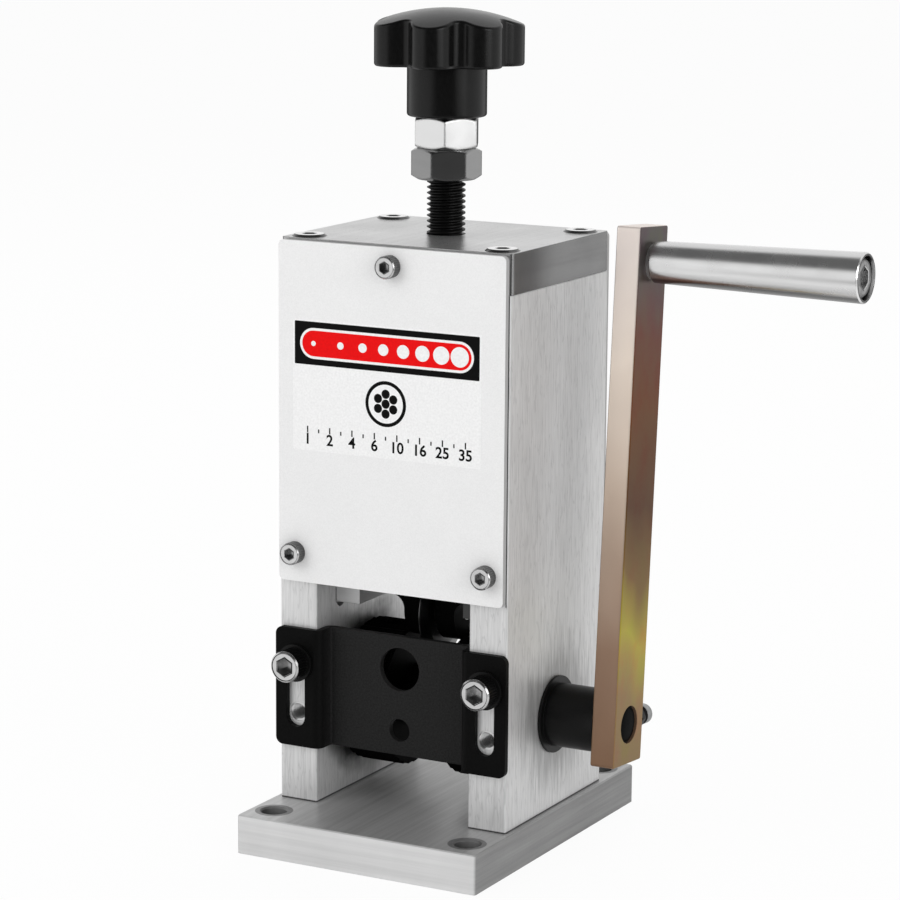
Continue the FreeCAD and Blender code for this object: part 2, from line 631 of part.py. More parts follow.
def drive_shaft():
    """Stepped shaft: journal, collar against the side plate, hub and spigot for the arm."""
    journal = JOURNAL_DIAMETER / 2
    left_end = -HALF_BODY - SHAFT_LEFT_END
    clip_start = -HALF_BODY - SLIDE_GAP - CIRCLIP_THICKNESS
    clip_end = clip_start + CIRCLIP_THICKNESS
    groove = journal - CIRCLIP_GROOVE_DEPTH
    collar = COLLAR_DIAMETER / 2
    collar_end = COLLAR_INNER_X + COLLAR_THICKNESS
    hub = HUB_DIAMETER / 2
    spigot = SPIGOT_DIAMETER / 2
    spigot_end = ARM_OUTER_X - SPIGOT_RECESS
    profile = [(0, left_end), (journal, left_end), (journal, clip_start), (groove, clip_start),
               (groove, clip_end), (journal, clip_end), (journal, COLLAR_INNER_X), (collar, COLLAR_INNER_X),
               (collar, collar_end), (hub, collar_end), (hub, ARM_INNER_X), (spigot, ARM_INNER_X),
               (spigot, spigot_end), (0, spigot_end)]
    return turned(profile, X_AXIS).translated(Vector(0, BODY_MIDDLE, AXLE_Z))


def bush(side):
    """Flanged bush pressed into a side plate from the inside."""
    inner = JOURNAL_DIAMETER / 2 + RUNNING_GAP
    outer = BUSH_OUTER_DIAMETER / 2
    flange = BUSH_FLANGE_DIAMETER / 2
    seat = BUSH_FLANGE_THICKNESS
    end = seat + SIDE_THICKNESS
    profile = [(inner, 0), (flange, 0), (flange, seat), (outer, seat), (outer, end), (inner, end)]
    start = Vector(side * (HALF_OPENING - BUSH_FLANGE_THICKNESS), BODY_MIDDLE, AXLE_Z)
    return aimed(turned(profile), side * X_AXIS, start)


def circlip():
    """Open spring ring in the groove at the shaft's left end."""
    inner = JOURNAL_DIAMETER - 2 * CIRCLIP_GROOVE_DEPTH + 2 * SEAT_GAP
    clip = ring(CIRCLIP_DIAMETER, inner, CIRCLIP_THICKNESS - SEAT_GAP)
    mouth = CIRCLIP_MOUTH / 2
    clip = clip.cut(box((-mouth, mouth), (0, CIRCLIP_DIAMETER), (-CUT_OVER, CIRCLIP_THICKNESS + CUT_OVER)))
    return aimed(clip, -X_AXIS, Vector(-HALF_BODY - SLIDE_GAP - SEAT_GAP / 2, BODY_MIDDLE, AXLE_Z))


def roller_disc(side):
    """One toothed feed disc with its radial grub screw hole."""
    bore = JOURNAL_DIAMETER + 2 * SEAT_GAP
    spans = sorted((side * DISC_INNER_X, side * DISC_OUTER_X))
    disc = toothed_disc(ROLLER_DIAMETER, ROLLER_TEETH, ROLLER_TOOTH_DEPTH,
                        ROLLER_RIM_CHAMFER, bore, spans)
    hole = rod_z(GRUB_DIAMETER / 2 + THREAD_GAP, sum(spans) / 2, BODY_MIDDLE,
                 (AXLE_Z, AXLE_Z + ROLLER_DIAMETER))
    return disc.cut(hole)


def grub_screw(side):
    """Grub screw that clamps a feed disc on the shaft."""
    middle = side * (DISC_INNER_X + DISC_OUTER_X) / 2
    low = AXLE_Z + JOURNAL_DIAMETER / 2 + SEAT_GAP
    high = AXLE_Z + ROLLER_DIAMETER / 2 - ROLLER_TOOTH_DEPTH - GRUB_SINK
    screw = rod_z(GRUB_DIAMETER / 2, middle, BODY_MIDDLE, (low, high))
    socket = hexagon(GRUB_SOCKET, GRUB_SOCKET_DEPTH)
    return screw.cut(socket.translated(Vector(middle, BODY_MIDDLE, high - GRUB_SOCKET_DEPTH)))


def feed_core():
    """Toothed sleeve between the discs, on which the wire runs."""
    span = (-DISC_INNER_X + SEAT_GAP, DISC_INNER_X - SEAT_GAP)
    bore = JOURNAL_DIAMETER + 2 * SEAT_GAP
    return toothed_disc(CORE_DIAMETER, CORE_TEETH, CORE_TOOTH_DEPTH, CORE_TOOTH_DEPTH / 2, bore, span)


def leaned(solid):
    """A crank piece turned from upright to the rest position of the arm."""
    copy = solid.copy()
    copy.rotate(Vector(0, BODY_MIDDLE, AXLE_Z), X_AXIS, -ARM_LEAN_DEGREES)
    return copy


def crank_arm():
    """Flat bar bored for the spigot, the clamp bolt and the handle bolt."""
    half = ARM_WIDTH / 2
    arm = box((ARM_INNER_X, ARM_OUTER_X), (BODY_MIDDLE - half, BODY_MIDDLE + half),
              (AXLE_Z - ARM_BOTTOM_REACH, AXLE_Z + ARM_TOP_REACH))
    arm = arm.makeFillet(ARM_END_RADIUS, edges_along(arm, X_AXIS))
    arm = arm.makeFillet(ARM_EDGE_RADIUS, edges_along(arm, Z_AXIS))
    across = (ARM_INNER_X - CUT_OVER, ARM_OUTER_X + CUT_OVER)
    arm = arm.cut(rod_x(SPIGOT_DIAMETER / 2 + SEAT_GAP, across, BODY_MIDDLE, AXLE_Z))
    arm = arm.cut(rod_x(HANDLE_BOLT_DIAMETER / 2 + THREAD_GAP, across, BODY_MIDDLE, AXLE_Z + HANDLE_REACH))
    middle_x = (ARM_INNER_X + ARM_OUTER_X) / 2
    clamp_hole = rod_y(CLAMP_BOLT_DIAMETER / 2 + THREAD_GAP, middle_x,
                       (BODY_MIDDLE, BODY_MIDDLE + half + CUT_OVER), AXLE_Z)
    return leaned(arm.cut(clamp_hole))


def clamp_bolt():
    """Bolt that presses on the spigot from the arm's rear edge."""
    seat = BODY_MIDDLE + ARM_WIDTH / 2 + CLAMP_BOLT_STANDOFF
    tip = BODY_MIDDLE + SPIGOT_DIAMETER / 2 + SEAT_GAP
    bolt = socket_screw(CLAMP_BOLT_DIAMETER, seat - tip, CLAMP_BOLT_HEAD_DIAMETER,
                        CLAMP_BOLT_HEAD_HEIGHT, M4_SOCKET, M4_SOCKET_DEPTH)
    middle_x = (ARM_INNER_X + ARM_OUTER_X) / 2
    return leaned(aimed(bolt, Y_AXIS, Vector(middle_x, seat, AXLE_Z)))


def clamp_nut():
    """Nut that locks the clamp bolt against the arm."""
    nut = hex_nut(CLAMP_NUT_WIDTH, CLAMP_NUT_THICKNESS, CLAMP_BOLT_DIAMETER + 2 * THREAD_GAP)
    middle_x = (ARM_INNER_X + ARM_OUTER_X) / 2
    return leaned(aimed(nut, Y_AXIS, Vector(middle_x, BODY_MIDDLE + ARM_WIDTH / 2, AXLE_Z)))


def handle_point(x):
    """Point on the handle's axis with the arm upright."""
    return Vector(x, BODY_MIDDLE, AXLE_Z + HANDLE_REACH)


def handle_sleeve():
    """Tapered tube that turns on its bolt, counterbored at the free end."""
    near = HANDLE_INNER_DIAMETER / 2
    far = HANDLE_OUTER_DIAMETER / 2
    bore = HANDLE_BOLT_DIAMETER / 2 + RUNNING_GAP
    pocket = far - HANDLE_RIM_WALL
    pocket_floor = HANDLE_LENGTH - HANDLE_HEAD_SINK - HANDLE_HEAD_HEIGHT - SLIDE_GAP
    rim = HEAD_RIM_CHAMFER
    profile = [(bore, 0), (near - rim, 0), (near, rim), (far, HANDLE_LENGTH - rim),
               (far - rim, HANDLE_LENGTH), (pocket, HANDLE_LENGTH), (pocket, pocket_floor),
               (bore, pocket_floor)]
    return leaned(aimed(turned(profile), X_AXIS, handle_point(HANDLE_START_X)))


def handle_bolt():
    """Shoulder bolt that carries the sleeve, threaded into the arm."""
    head_seat = HANDLE_END_X - HANDLE_HEAD_SINK - HANDLE_HEAD_HEIGHT
    bolt = socket_screw(HANDLE_BOLT_DIAMETER, head_seat - ARM_INNER_X, HANDLE_HEAD_DIAMETER,
                        HANDLE_HEAD_HEIGHT, HANDLE_SOCKET, HANDLE_SOCKET_DEPTH)
    return leaned(aimed(bolt, X_AXIS, handle_point(head_seat)))


def handle_washer():
    """Collar between the arm and the sleeve."""
    washer = ring(HANDLE_WASHER_DIAMETER, HANDLE_BOLT_DIAMETER + 2 * THREAD_GAP, HANDLE_WASHER_THICKNESS)
    return leaned(aimed(washer, X_AXIS, handle_point(ARM_OUTER_X)))


def crank_nodes():
    """Everything on the crank's axle, and its bushes."""
    return {
        "left_bush": bush(-1),
        "right_bush": bush(1),
        "drive_shaft": drive_shaft(),
        "shaft_circlip": circlip(),
        "left_feed_disc": roller_disc(-1),
        "right_feed_disc": roller_disc(1),
        "feed_core": feed_core(),
        "feed_disc_grub_screws": Part.makeCompound([grub_screw(side) for side in SIDES]),
        "crank_arm": crank_arm(),
        "arm_clamp_bolt": clamp_bolt(),
        "arm_clamp_nut": clamp_nut(),
        "handle_sleeve": handle_sleeve(),
        "handle_bolt": handle_bolt(),
        "handle_washer": handle_washer(),
    }


# ---------------------------------------------------------------- carriage and blade
def carriage():
    """Sliding block: arch with two ears that run in the side plates' grooves."""
    half = CARRIAGE_HALF_WIDTH
    ear_inner = half - EAR_WIDTH
    block = box((-half, half), (CARRIAGE_FRONT, CARRIAGE_REAR), (EAR_BOTTOM, CARRIAGE_TOP))
    arch = box((-ear_inner, ear_inner), (CARRIAGE_FRONT - CUT_OVER, CARRIAGE_REAR + CUT_OVER),
               (EAR_BOTTOM - CUT_OVER, CARRIAGE_ARCH))
    block = block.cut(arch)
    block = block.makeFillet(CARRIAGE_EDGE_RADIUS, edges_along(
        block, Y_AXIS, lambda point: abs(point.z - CARRIAGE_ARCH) < COINCIDENT))
    for front, rear in groove_spans():
        for side in SIDES:
            spans = sorted((side * (half - CUT_OVER), side * (HALF_OPENING + GROOVE_DEPTH - SLIDE_GAP)))
            block = block.fuse(box(spans, (front + SLIDE_GAP, rear - SLIDE_GAP),
                                   (EAR_BOTTOM + TONGUE_RISE_OVER_EAR, CARRIAGE_TOP)))
    pocket = SCREW_DIAMETER / 2 + FACE_GAP
    block = block.cut(rod_z(pocket, 0, BODY_MIDDLE, (SCREW_FOOT_Z - FACE_GAP, CARRIAGE_TOP + CUT_OVER)))
    for point in fork_bolt_points():
        block = block.cut(rod_z(FORK_BOLT_DIAMETER / 2 + THREAD_GAP, point.x, point.y,
                                (CARRIAGE_ARCH - CUT_OVER, CARRIAGE_TOP + CUT_OVER)))
        block = block.cut(rod_z(FORK_BOLT_HEAD_DIAMETER / 2 + BOLT_HOLE_GAP, point.x, point.y,
                                (point.z, CARRIAGE_TOP + CUT_OVER)))
    for point in keeper_screw_points():
        block = block.cut(rod_z(M4_DIAMETER / 2 + THREAD_GAP, point.x, point.y,
                                (CARRIAGE_TOP - KEEPER_SCREW_LENGTH, CARRIAGE_TOP + CUT_OVER)))
    return block.removeSplitter()


def fork_bolt_points():
    """Seats of the two bolts that hold the fork under the carriage."""
    seat = CARRIAGE_TOP - FORK_BOLT_HEAD_HEIGHT - FACE_GAP
    return [Vector(0, BODY_MIDDLE + side * FORK_BOLT_SPACING / 2, seat) for side in SIDES]


def keeper_screw_points():
    """Seats of the two screws of the keeper plate."""
    seat = CARRIAGE_TOP + KEEPER_THICKNESS
    return [Vector(side * KEEPER_SCREW_SPACING / 2, BODY_MIDDLE, seat) for side in SIDES]


def keeper_plate():
    """Slotted plate over the screw's foot."""
    half_depth = KEEPER_DEPTH / 2
    top = CARRIAGE_TOP + KEEPER_THICKNESS
    plate = box((-KEEPER_WIDTH / 2, KEEPER_WIDTH / 2), (BODY_MIDDLE - half_depth, BODY_MIDDLE + half_depth),
                (CARRIAGE_TOP, top))
    neck = SCREW_NECK_DIAMETER / 2 + FACE_GAP
    height = (CARRIAGE_TOP - CUT_OVER, top + CUT_OVER)
    plate = plate.cut(rod_z(neck, 0, BODY_MIDDLE, height))
    plate = plate.cut(box((-neck, neck), (BODY_MIDDLE - half_depth - CUT_OVER, BODY_MIDDLE), height))
    for point in keeper_screw_points():
        plate = plate.cut(rod_z(M4_DIAMETER / 2 + BOLT_HOLE_GAP, point.x, point.y, height))
    return plate


def fork_shoulder():
    """Wide upper part of the fork, its undersides hollowed down to the arms."""
    fillet = FORK_SHOULDER_FILLET
    wide = FORK_HALF_WIDTH + fillet
    depth = (BODY_MIDDLE - FORK_ARM_RADIUS, BODY_MIDDLE + FORK_ARM_RADIUS)
    low = BLADE_AXIS_Z + FORK_SHOULDER_RISE - fillet
    shoulder = box((-wide, wide), depth, (low, CARRIAGE_ARCH))
    for side in SIDES:
        hollow = rod_y(fillet, side * wide, (depth[0] - CUT_OVER, depth[1] + CUT_OVER), low)
        shoulder = shoulder.cut(hollow)
    return shoulder


def blade_fork():
    """Fork with two round-ended arms and a bridge bolted under the carriage."""
    half = FORK_HALF_WIDTH
    radius = FORK_ARM_RADIUS
    top = CARRIAGE_ARCH
    bridge_low = top - FORK_BRIDGE_THICKNESS
    arms = box((-half, half), (BODY_MIDDLE - radius, BODY_MIDDLE + radius), (BLADE_AXIS_Z, top))
    arms = arms.fuse(rod_x(radius, (-half, half), BODY_MIDDLE, BLADE_AXIS_Z))
    bridge_depth = (BODY_MIDDLE - FORK_BRIDGE_DEPTH / 2, BODY_MIDDLE + FORK_BRIDGE_DEPTH / 2)
    bridge = box((-half, half), bridge_depth, (bridge_low, top))
    fork = arms.multiFuse([fork_shoulder(), bridge]).removeSplitter()
    slot = FORK_SLOT_WIDTH / 2
    fork = fork.cut(box((-slot, slot), (BODY_MIDDLE - FORK_BRIDGE_DEPTH, BODY_MIDDLE + FORK_BRIDGE_DEPTH),
                        (BLADE_AXIS_Z - 2 * radius, bridge_low)))
    fork = fork.cut(rod_x(BLADE_PIN_DIAMETER / 2 + SEAT_GAP, (-half - CUT_OVER, half + CUT_OVER),
                          BODY_MIDDLE, BLADE_AXIS_Z))
    for point in fork_bolt_points():
        fork = fork.cut(rod_z(FORK_BOLT_DIAMETER / 2 + THREAD_GAP, point.x, point.y,
                              (bridge_low - CUT_OVER, top + CUT_OVER)))
    return fork


def round_blade():
    """Disc blade bevelled on both sides to its edge."""
    half = BLADE_THICKNESS / 2
    edge = BLADE_EDGE_THICKNESS / 2
    bore = BLADE_PIN_DIAMETER / 2 + RUNNING_GAP
    bevel = BLADE_BEVEL_DIAMETER / 2
    outer = BLADE_DIAMETER / 2
    profile = [(bore, -half), (bevel, -half), (outer, -edge), (outer, edge), (bevel, half), (bore, half)]
    return turned(profile, X_AXIS).translated(Vector(0, BODY_MIDDLE, BLADE_AXIS_Z))


def blade_washers():
    """Thin washers between the blade and the fork's arms."""
    gap = (FORK_SLOT_WIDTH - BLADE_THICKNESS) / 2
    thickness = gap - SLIDE_GAP
    washer = ring(BLADE_WASHER_DIAMETER, BLADE_PIN_DIAMETER + 2 * RUNNING_GAP, thickness)
    return Part.makeCompound([
        aimed(washer, -side * X_AXIS, Vector(side * FORK_SLOT_WIDTH / 2, BODY_MIDDLE, BLADE_AXIS_Z))
        for side in SIDES])


def carriage_nodes():
    """Carriage, fork, blade and the pieces that join them."""
    bolt_seat = fork_bolt_points()[0].z
    fork_bolt_length = bolt_seat - CARRIAGE_ARCH + FORK_BRIDGE_THICKNESS
    fork_bolt = socket_screw(FORK_BOLT_DIAMETER, fork_bolt_length, FORK_BOLT_HEAD_DIAMETER,
                             FORK_BOLT_HEAD_HEIGHT, FORK_BOLT_SOCKET, FORK_BOLT_SOCKET_DEPTH)
    keeper_screw = m4_screw(KEEPER_SCREW_LENGTH)
    pin = rod_x(BLADE_PIN_DIAMETER / 2, (-FORK_HALF_WIDTH, FORK_HALF_WIDTH), BODY_MIDDLE, BLADE_AXIS_Z)
    return {
        "carriage": carriage(),
        "keeper_plate": keeper_plate(),
        "keeper_screws": Part.makeCompound(
            [aimed(keeper_screw, Z_AXIS, point) for point in keeper_screw_points()]),
        "blade_fork": blade_fork(),
        "fork_bolts": Part.makeCompound([aimed(fork_bolt, Z_AXIS, point) for point in fork_bolt_points()]),
        "blade_pin": pin,
        "blade_washers": blade_washers(),
        "round_blade": round_blade(),
    }


# ---------------------------------------------------------------- adjusting screw and knob
def adjusting_screw():
    """Screw with a neck and a foot that the keeper plate holds."""
    radius = SCREW_DIAMETER / 2
    neck = SCREW_NECK_DIAMETER / 2
    foot_top = SCREW_FOOT_Z + SCREW_FOOT_THICKNESS
    neck_top = CARRIAGE_TOP + KEEPER_THICKNESS + FACE_GAP
    end = KNOB_Z + KNOB_SCREW_DEPTH
    profile = [(0, SCREW_FOOT_Z), (radius, SCREW_FOOT_Z), (radius, foot_top), (neck, foot_top),
               (neck, neck_top), (radius, neck_top), (radius, end), (0, end)]
    return turned(profile).translated(Vector(0, BODY_MIDDLE, 0))


def lobe_outline():
    """Closed outline of the knob: convex lobe arcs joined by concave valley arcs."""
    tip = KNOB_LOBE_RADIUS
    tip_centre = KNOB_DIAMETER / 2 - tip
    valley_floor = KNOB_VALLEY_DIAMETER / 2
    half_pitch = math.pi / KNOB_LOBES
    reach = tip - valley_floor
    valley_centre = (tip_centre ** 2 - reach ** 2) / (2 * reach + 2 * tip_centre * math.cos(half_pitch))
    edges = []
    for k in range(KNOB_LOBES):
        lobe_angle = 2 * half_pitch * k
        lobe = polar(tip_centre, lobe_angle)
        before = polar(valley_centre, lobe_angle - half_pitch)
        after = polar(valley_centre, lobe_angle + half_pitch)
        following = polar(tip_centre, lobe_angle + 2 * half_pitch)
        start = lobe + (before - lobe).normalize() * tip
        end = lobe + (after - lobe).normalize() * tip
        next_start = following + (after - following).normalize() * tip
        edges.append(Part.Arc(start, polar(KNOB_DIAMETER / 2, lobe_angle), end).toShape())
        edges.append(Part.Arc(end, polar(valley_floor, lobe_angle + half_pitch), next_start).toShape())
    return Part.Wire(edges)


def polar(radius, angle):
    """Point at a radius and an angle about Z."""
    return Vector(radius * math.cos(angle), radius * math.sin(angle), 0)


def star_knob():
    """Seven-lobe knob with a domed top on a round hub."""
    outer = KNOB_DIAMETER / 2
    rim_top = KNOB_HUB_HEIGHT + KNOB_RIM_HEIGHT
    dome_top = rim_top + KNOB_DOME_HEIGHT
    star = Part.Face(lobe_outline()).extrude(Vector(0, 0, dome_top - KNOB_HUB_HEIGHT))
    star = star.translated(Vector(0, 0, KNOB_HUB_HEIGHT))
    dome_radius = (outer ** 2 + KNOB_DOME_HEIGHT ** 2) / (2 * KNOB_DOME_HEIGHT)
    ball = Part.makeSphere(dome_radius, Vector(0, 0, dome_top - dome_radius))
    star = star.common(ball)
    middle = KNOB_HUB_HEIGHT + KNOB_RIM_HEIGHT / 2
    rims = [edge for edge in star.Edges if (edge.BoundBox.ZMin - middle) * (edge.BoundBox.ZMax - middle) > 0]
    star = star.makeFillet(KNOB_EDGE_RADIUS, rims)
    hub = rod_z(KNOB_HUB_DIAMETER / 2, 0, 0, (0, KNOB_HUB_HEIGHT + CUT_OVER))
    hub_rim = [edge for edge in hub.Edges if edge.BoundBox.ZMax < CUT_OVER and not edge.BoundBox.ZLength]
    knob = star.fuse(hub.makeFillet(KNOB_EDGE_RADIUS, hub_rim)).removeSplitter()
    bore = SCREW_DIAMETER / 2 + SEAT_GAP
    knob = knob.cut(rod_z(bore, 0, 0, (-CUT_OVER, KNOB_SCREW_DEPTH + SEAT_GAP)))
    turn = FreeCAD.Rotation(Z_AXIS, KNOB_TURN_DEGREES)
    return placed(knob, turn, Vector(0, BODY_MIDDLE, KNOB_Z))


def screw_nut(height, turn_degrees):
    """Nut on the adjusting screw."""
    nut = hex_nut(NUT_WIDTH, NUT_HEIGHT, SCREW_DIAMETER + 2 * SEAT_GAP)
    return placed(nut, FreeCAD.Rotation(Z_AXIS, turn_degrees), Vector(0, BODY_MIDDLE, height))


def screw_nodes():
    """Adjusting screw, its two nuts and the knob."""
    return {
        "adjusting_screw": adjusting_screw(),
        "lower_nut": screw_nut(LOWER_NUT_Z, LOWER_NUT_TURN_DEGREES),
        "upper_nut": screw_nut(UPPER_NUT_Z, UPPER_NUT_TURN_DEGREES),
        "star_knob": star_knob(),
    }


def main():
    """Write one STEP file per piece."""
    os.makedirs("parts", exist_ok=True)
    nodes = {}
    for group in (body_nodes, guide_nodes, crank_nodes, carriage_nodes, screw_nodes):
        nodes.update(group())
    for name, shape in nodes.items():
        shape.exportStep(os.path.join("parts", name + ".step"))
        print(name, "solids", len(shape.Solids), "valid", shape.isValid(), "volume", round(shape.Volume, 1))


main()
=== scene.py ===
"""Looks of the hand crank wire stripper.

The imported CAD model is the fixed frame.  This script gives each of its nodes a
finish and models what is too fine for the solids: the thread of the adjusting
screw, the knurled socket screws, the threads in the spare guide holes and the
wire size chart on the front cover.  All lengths are in metres.
"""
import logging
import math
from collections.abc import Callable, Iterator
from contextlib import contextmanager
from dataclasses import dataclass, field
from enum import Enum

import bpy
from mathutils import Matrix, Vector


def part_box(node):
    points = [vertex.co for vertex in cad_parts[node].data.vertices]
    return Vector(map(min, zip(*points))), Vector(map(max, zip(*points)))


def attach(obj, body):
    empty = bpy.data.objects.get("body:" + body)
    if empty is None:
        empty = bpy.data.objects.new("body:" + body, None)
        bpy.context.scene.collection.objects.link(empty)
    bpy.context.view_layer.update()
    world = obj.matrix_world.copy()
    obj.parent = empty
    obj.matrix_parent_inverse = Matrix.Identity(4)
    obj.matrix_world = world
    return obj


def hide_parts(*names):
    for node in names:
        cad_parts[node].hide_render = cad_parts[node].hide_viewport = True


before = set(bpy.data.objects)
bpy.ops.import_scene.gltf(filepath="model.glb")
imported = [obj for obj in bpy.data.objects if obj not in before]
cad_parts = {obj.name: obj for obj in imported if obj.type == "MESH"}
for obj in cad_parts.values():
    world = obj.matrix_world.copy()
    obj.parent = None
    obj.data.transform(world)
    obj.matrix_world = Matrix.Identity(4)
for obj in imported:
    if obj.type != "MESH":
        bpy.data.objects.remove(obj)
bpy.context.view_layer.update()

LOG = logging.getLogger("wire_stripper")
MM = 0.001
MICRON = 0.000001
Triple = tuple[float, float, float]
Span = tuple[float, float]
Socket = bpy.types.NodeSocket
Value = float | tuple[float, ...] | Vector | Socket
Inputs = dict[str | int, Value]
Test = Callable[[Vector, Vector], bool]
RIGHT = Vector((1.0, 0.0, 0.0))
FRONT = Vector((0.0, -1.0, 0.0))
REAR = Vector((0.0, 1.0, 0.0))
UP = Vector((0.0, 0.0, 1.0))


# ---------------------------------------------------------------- finishes
class Grain(Enum):
    """How a surface's marks run, as a pattern scale along X, Y and Z per metre."""

    UPRIGHT = (1450.0, 1450.0, 70.0)
    LEVEL = (9.0, 9.0, 420.0)
    TURNED = (40.0, 900.0, 900.0)
    NUT = (60.0, 60.0, 500.0)


class Graph:
    """Node tree of one material or of the world, with short calls that add and join nodes."""

    def __init__(self, tree: bpy.types.NodeTree) -> None:
        """Keeps the tree that the nodes go into.

        Args:
            tree: Node tree of a material or world.
        """
        self.tree = tree

    def feed(self, entry: Socket, value: Value) -> None:
        """Joins an input to another node's output, or sets it to a fixed value.

        Args:
            entry: The input.
            value: Output of another node, or a number, colour or vector.
        """
        if isinstance(value, Socket):
            self.tree.links.new(value, entry)
        else:
            entry.default_value = value

    def add(self, kind: str, inputs: Inputs | None = None, **settings: object) -> bpy.types.Node:
        """Adds a node, sets it up and joins its inputs.

        Args:
            kind: Node type name.
            inputs: Socket name or number to a fixed value or to another node's output.
            settings: Attributes of the node itself.

        Returns:
            The new node.
        """
        node = self.tree.nodes.new(kind)
        for name, value in settings.items():
            setattr(node, name, value)
        for name, value in (inputs or {}).items():
            self.feed(node.inputs[name], value)
        return node

    def place(self) -> Socket:
        """Place on the piece."""
        return self.add("ShaderNodeTexCoord").outputs["Object"]

    def axes(self, vector: Socket | None = None) -> bpy.types.NodeOutputs:
        """X, Y and Z of a vector, or else of the place on the piece."""
        return self.add("ShaderNodeSeparateXYZ", {0: self.place() if vector is None else vector}).outputs

    def noise(self, scale: float | Triple, detail: float = 3.0, roughness: float = 0.55) -> Socket:
        """Noise over a piece.

        Args:
            scale: Pattern scale per metre, one for all axes or one for each.
            detail: Number of finer layers.
            roughness: Strength of the finer layers.

        Returns:
            The noise value, from 0 to 1.
        """
        scales = scale if isinstance(scale, tuple) else (scale,) * 3
        mapped = self.add("ShaderNodeMapping", {"Vector": self.place(), "Scale": scales}).outputs["Vector"]
        inputs = {"Vector": mapped, "Scale": 1.0, "Detail": detail, "Roughness": roughness}
        return self.add("ShaderNodeTexNoise", inputs).outputs["Fac"]

    def calc(self, operation: str, *values: Value) -> Socket:
        """Result of a math node."""
        return self.add("ShaderNodeMath", dict(enumerate(values)), operation=operation).outputs[0]

    def chain(self, operation: str, first: Value, others: tuple[Value, ...]) -> Value:
        """Result of one operation on a row of values, from left to right.

        Args:
            operation: Name of the math node's operation.
            first: First value.
            others: The values after it.

        Returns:
            The result.
        """
        for other in others:
            first = self.calc(operation, first, other)
        return first

    def total(self, first: Value, *others: Value) -> Value:
        """Sum of values."""
        return self.chain("ADD", first, others)

    def product(self, first: Value, *others: Value) -> Value:
        """Product of values."""
        return self.chain("MULTIPLY", first, others)

    def span(self, value: Value, low: float, high: float,
             to_low: float = 0.0, to_high: float = 1.0) -> Socket:
        """A value mapped from one range to another and held inside it."""
        inputs = {"Value": value, "From Min": low, "From Max": high, "To Min": to_low, "To Max": to_high}
        return self.add("ShaderNodeMapRange", inputs).outputs["Result"]

    def spread(self, noise: Value, low: float = 0.0, high: float = 1.0) -> Socket:
        """A noise value, which mostly lies between 0.3 and 0.7, mapped to a range."""
        return self.span(noise, 0.3, 0.7, low, high)

    def shade(self, mask: Value, level: float) -> Socket:
        """A factor that is 1 where the mask is 0, and a given level where the mask is 1."""
        return self.span(mask, 0.0, 1.0, 1.0, level)

    def distance(self, across: Value, along: Value) -> Socket:
        """Length of a flat offset."""
        offset = self.add("ShaderNodeCombineXYZ", {"X": across, "Y": along}).outputs[0]
        return self.add("ShaderNodeVectorMath", {0: offset}, operation="LENGTH").outputs["Value"]

    def ramp(self, factor: Socket, stops: dict[float, Triple]) -> Socket:
        """Colour that runs through a row of stops.

        Args:
            factor: Place on the ramp, from 0 to 1.
            stops: Place to colour, in rising order.

        Returns:
            The ramp's colour.
        """
        node = self.add("ShaderNodeValToRGB", {"Fac": factor})
        elements = node.color_ramp.elements
        while len(elements) < len(stops):
            elements.new(0.5)
        for element, (place, colour) in zip(elements, stops.items()):
            element.position = place
            element.color = (*colour, 1.0)
        return node.outputs["Color"]

    def blend(self, factor: Value, low: Value, high: Value) -> Socket:
        """Colour between two colours, by a Mix node's colour sockets."""
        return self.add("ShaderNodeMix", {0: factor, 6: low, 7: high}, data_type="RGBA").outputs[2]

    def stray(self, factor: Value, colour: Triple, dark: float, light: float) -> Socket:
        """Colour that strays to both sides of a middle one.

        Args:
            factor: 0 where it is darkest and 1 where it is lightest.
            colour: The middle colour.
            dark: Share of the colour where it is darkest.
            light: Share of the colour where it is lightest.

        Returns:
            The uneven colour.
        """
        low, high = ((*(min(part * share, 1.0) for part in colour), 1.0) for share in (dark, light))
        return self.blend(factor, low, high)

    def scale(self, colour: Value, factor: Value) -> Socket:
        """Colour made lighter or darker by a factor."""
        scaled = self.add("ShaderNodeVectorMath", {0: colour, "Scale": factor}, operation="SCALE")
        return scaled.outputs["Vector"]

    def facing(self, axis: int) -> Socket:
        """How far a face looks along an axis, either way, from 0 to 1."""
        part = self.axes(self.add("ShaderNodeNewGeometry").outputs["Normal"])[axis]
        return self.calc("MULTIPLY", part, part)

    def bump(self, height: Value, depth: float, strength: float = 1.0, edge: float = 0.0) -> Socket:
        """Normal of a surface with fine relief.

        Args:
            height: Height of the relief, from 0 to 1.
            depth: Depth of the relief.
            strength: How strongly the relief shows.
            edge: Radius to which sharp edges look rounded, or 0.

        Returns:
            The normal.
        """
        inputs = {"Height": height, "Distance": depth, "Strength": strength}
        if edge:
            inputs["Normal"] = self.add("ShaderNodeBevel", {"Radius": edge}).outputs["Normal"]
        return self.add("ShaderNodeBump", inputs).outputs["Normal"]


def neutral(level: float) -> Triple:
    """Grey colour of one level."""
    return (level,) * 3


def grey(level: float) -> tuple[float, float, float, float]:
    """Grey colour of one level, for a colour socket."""
    return (*neutral(level), 1.0)


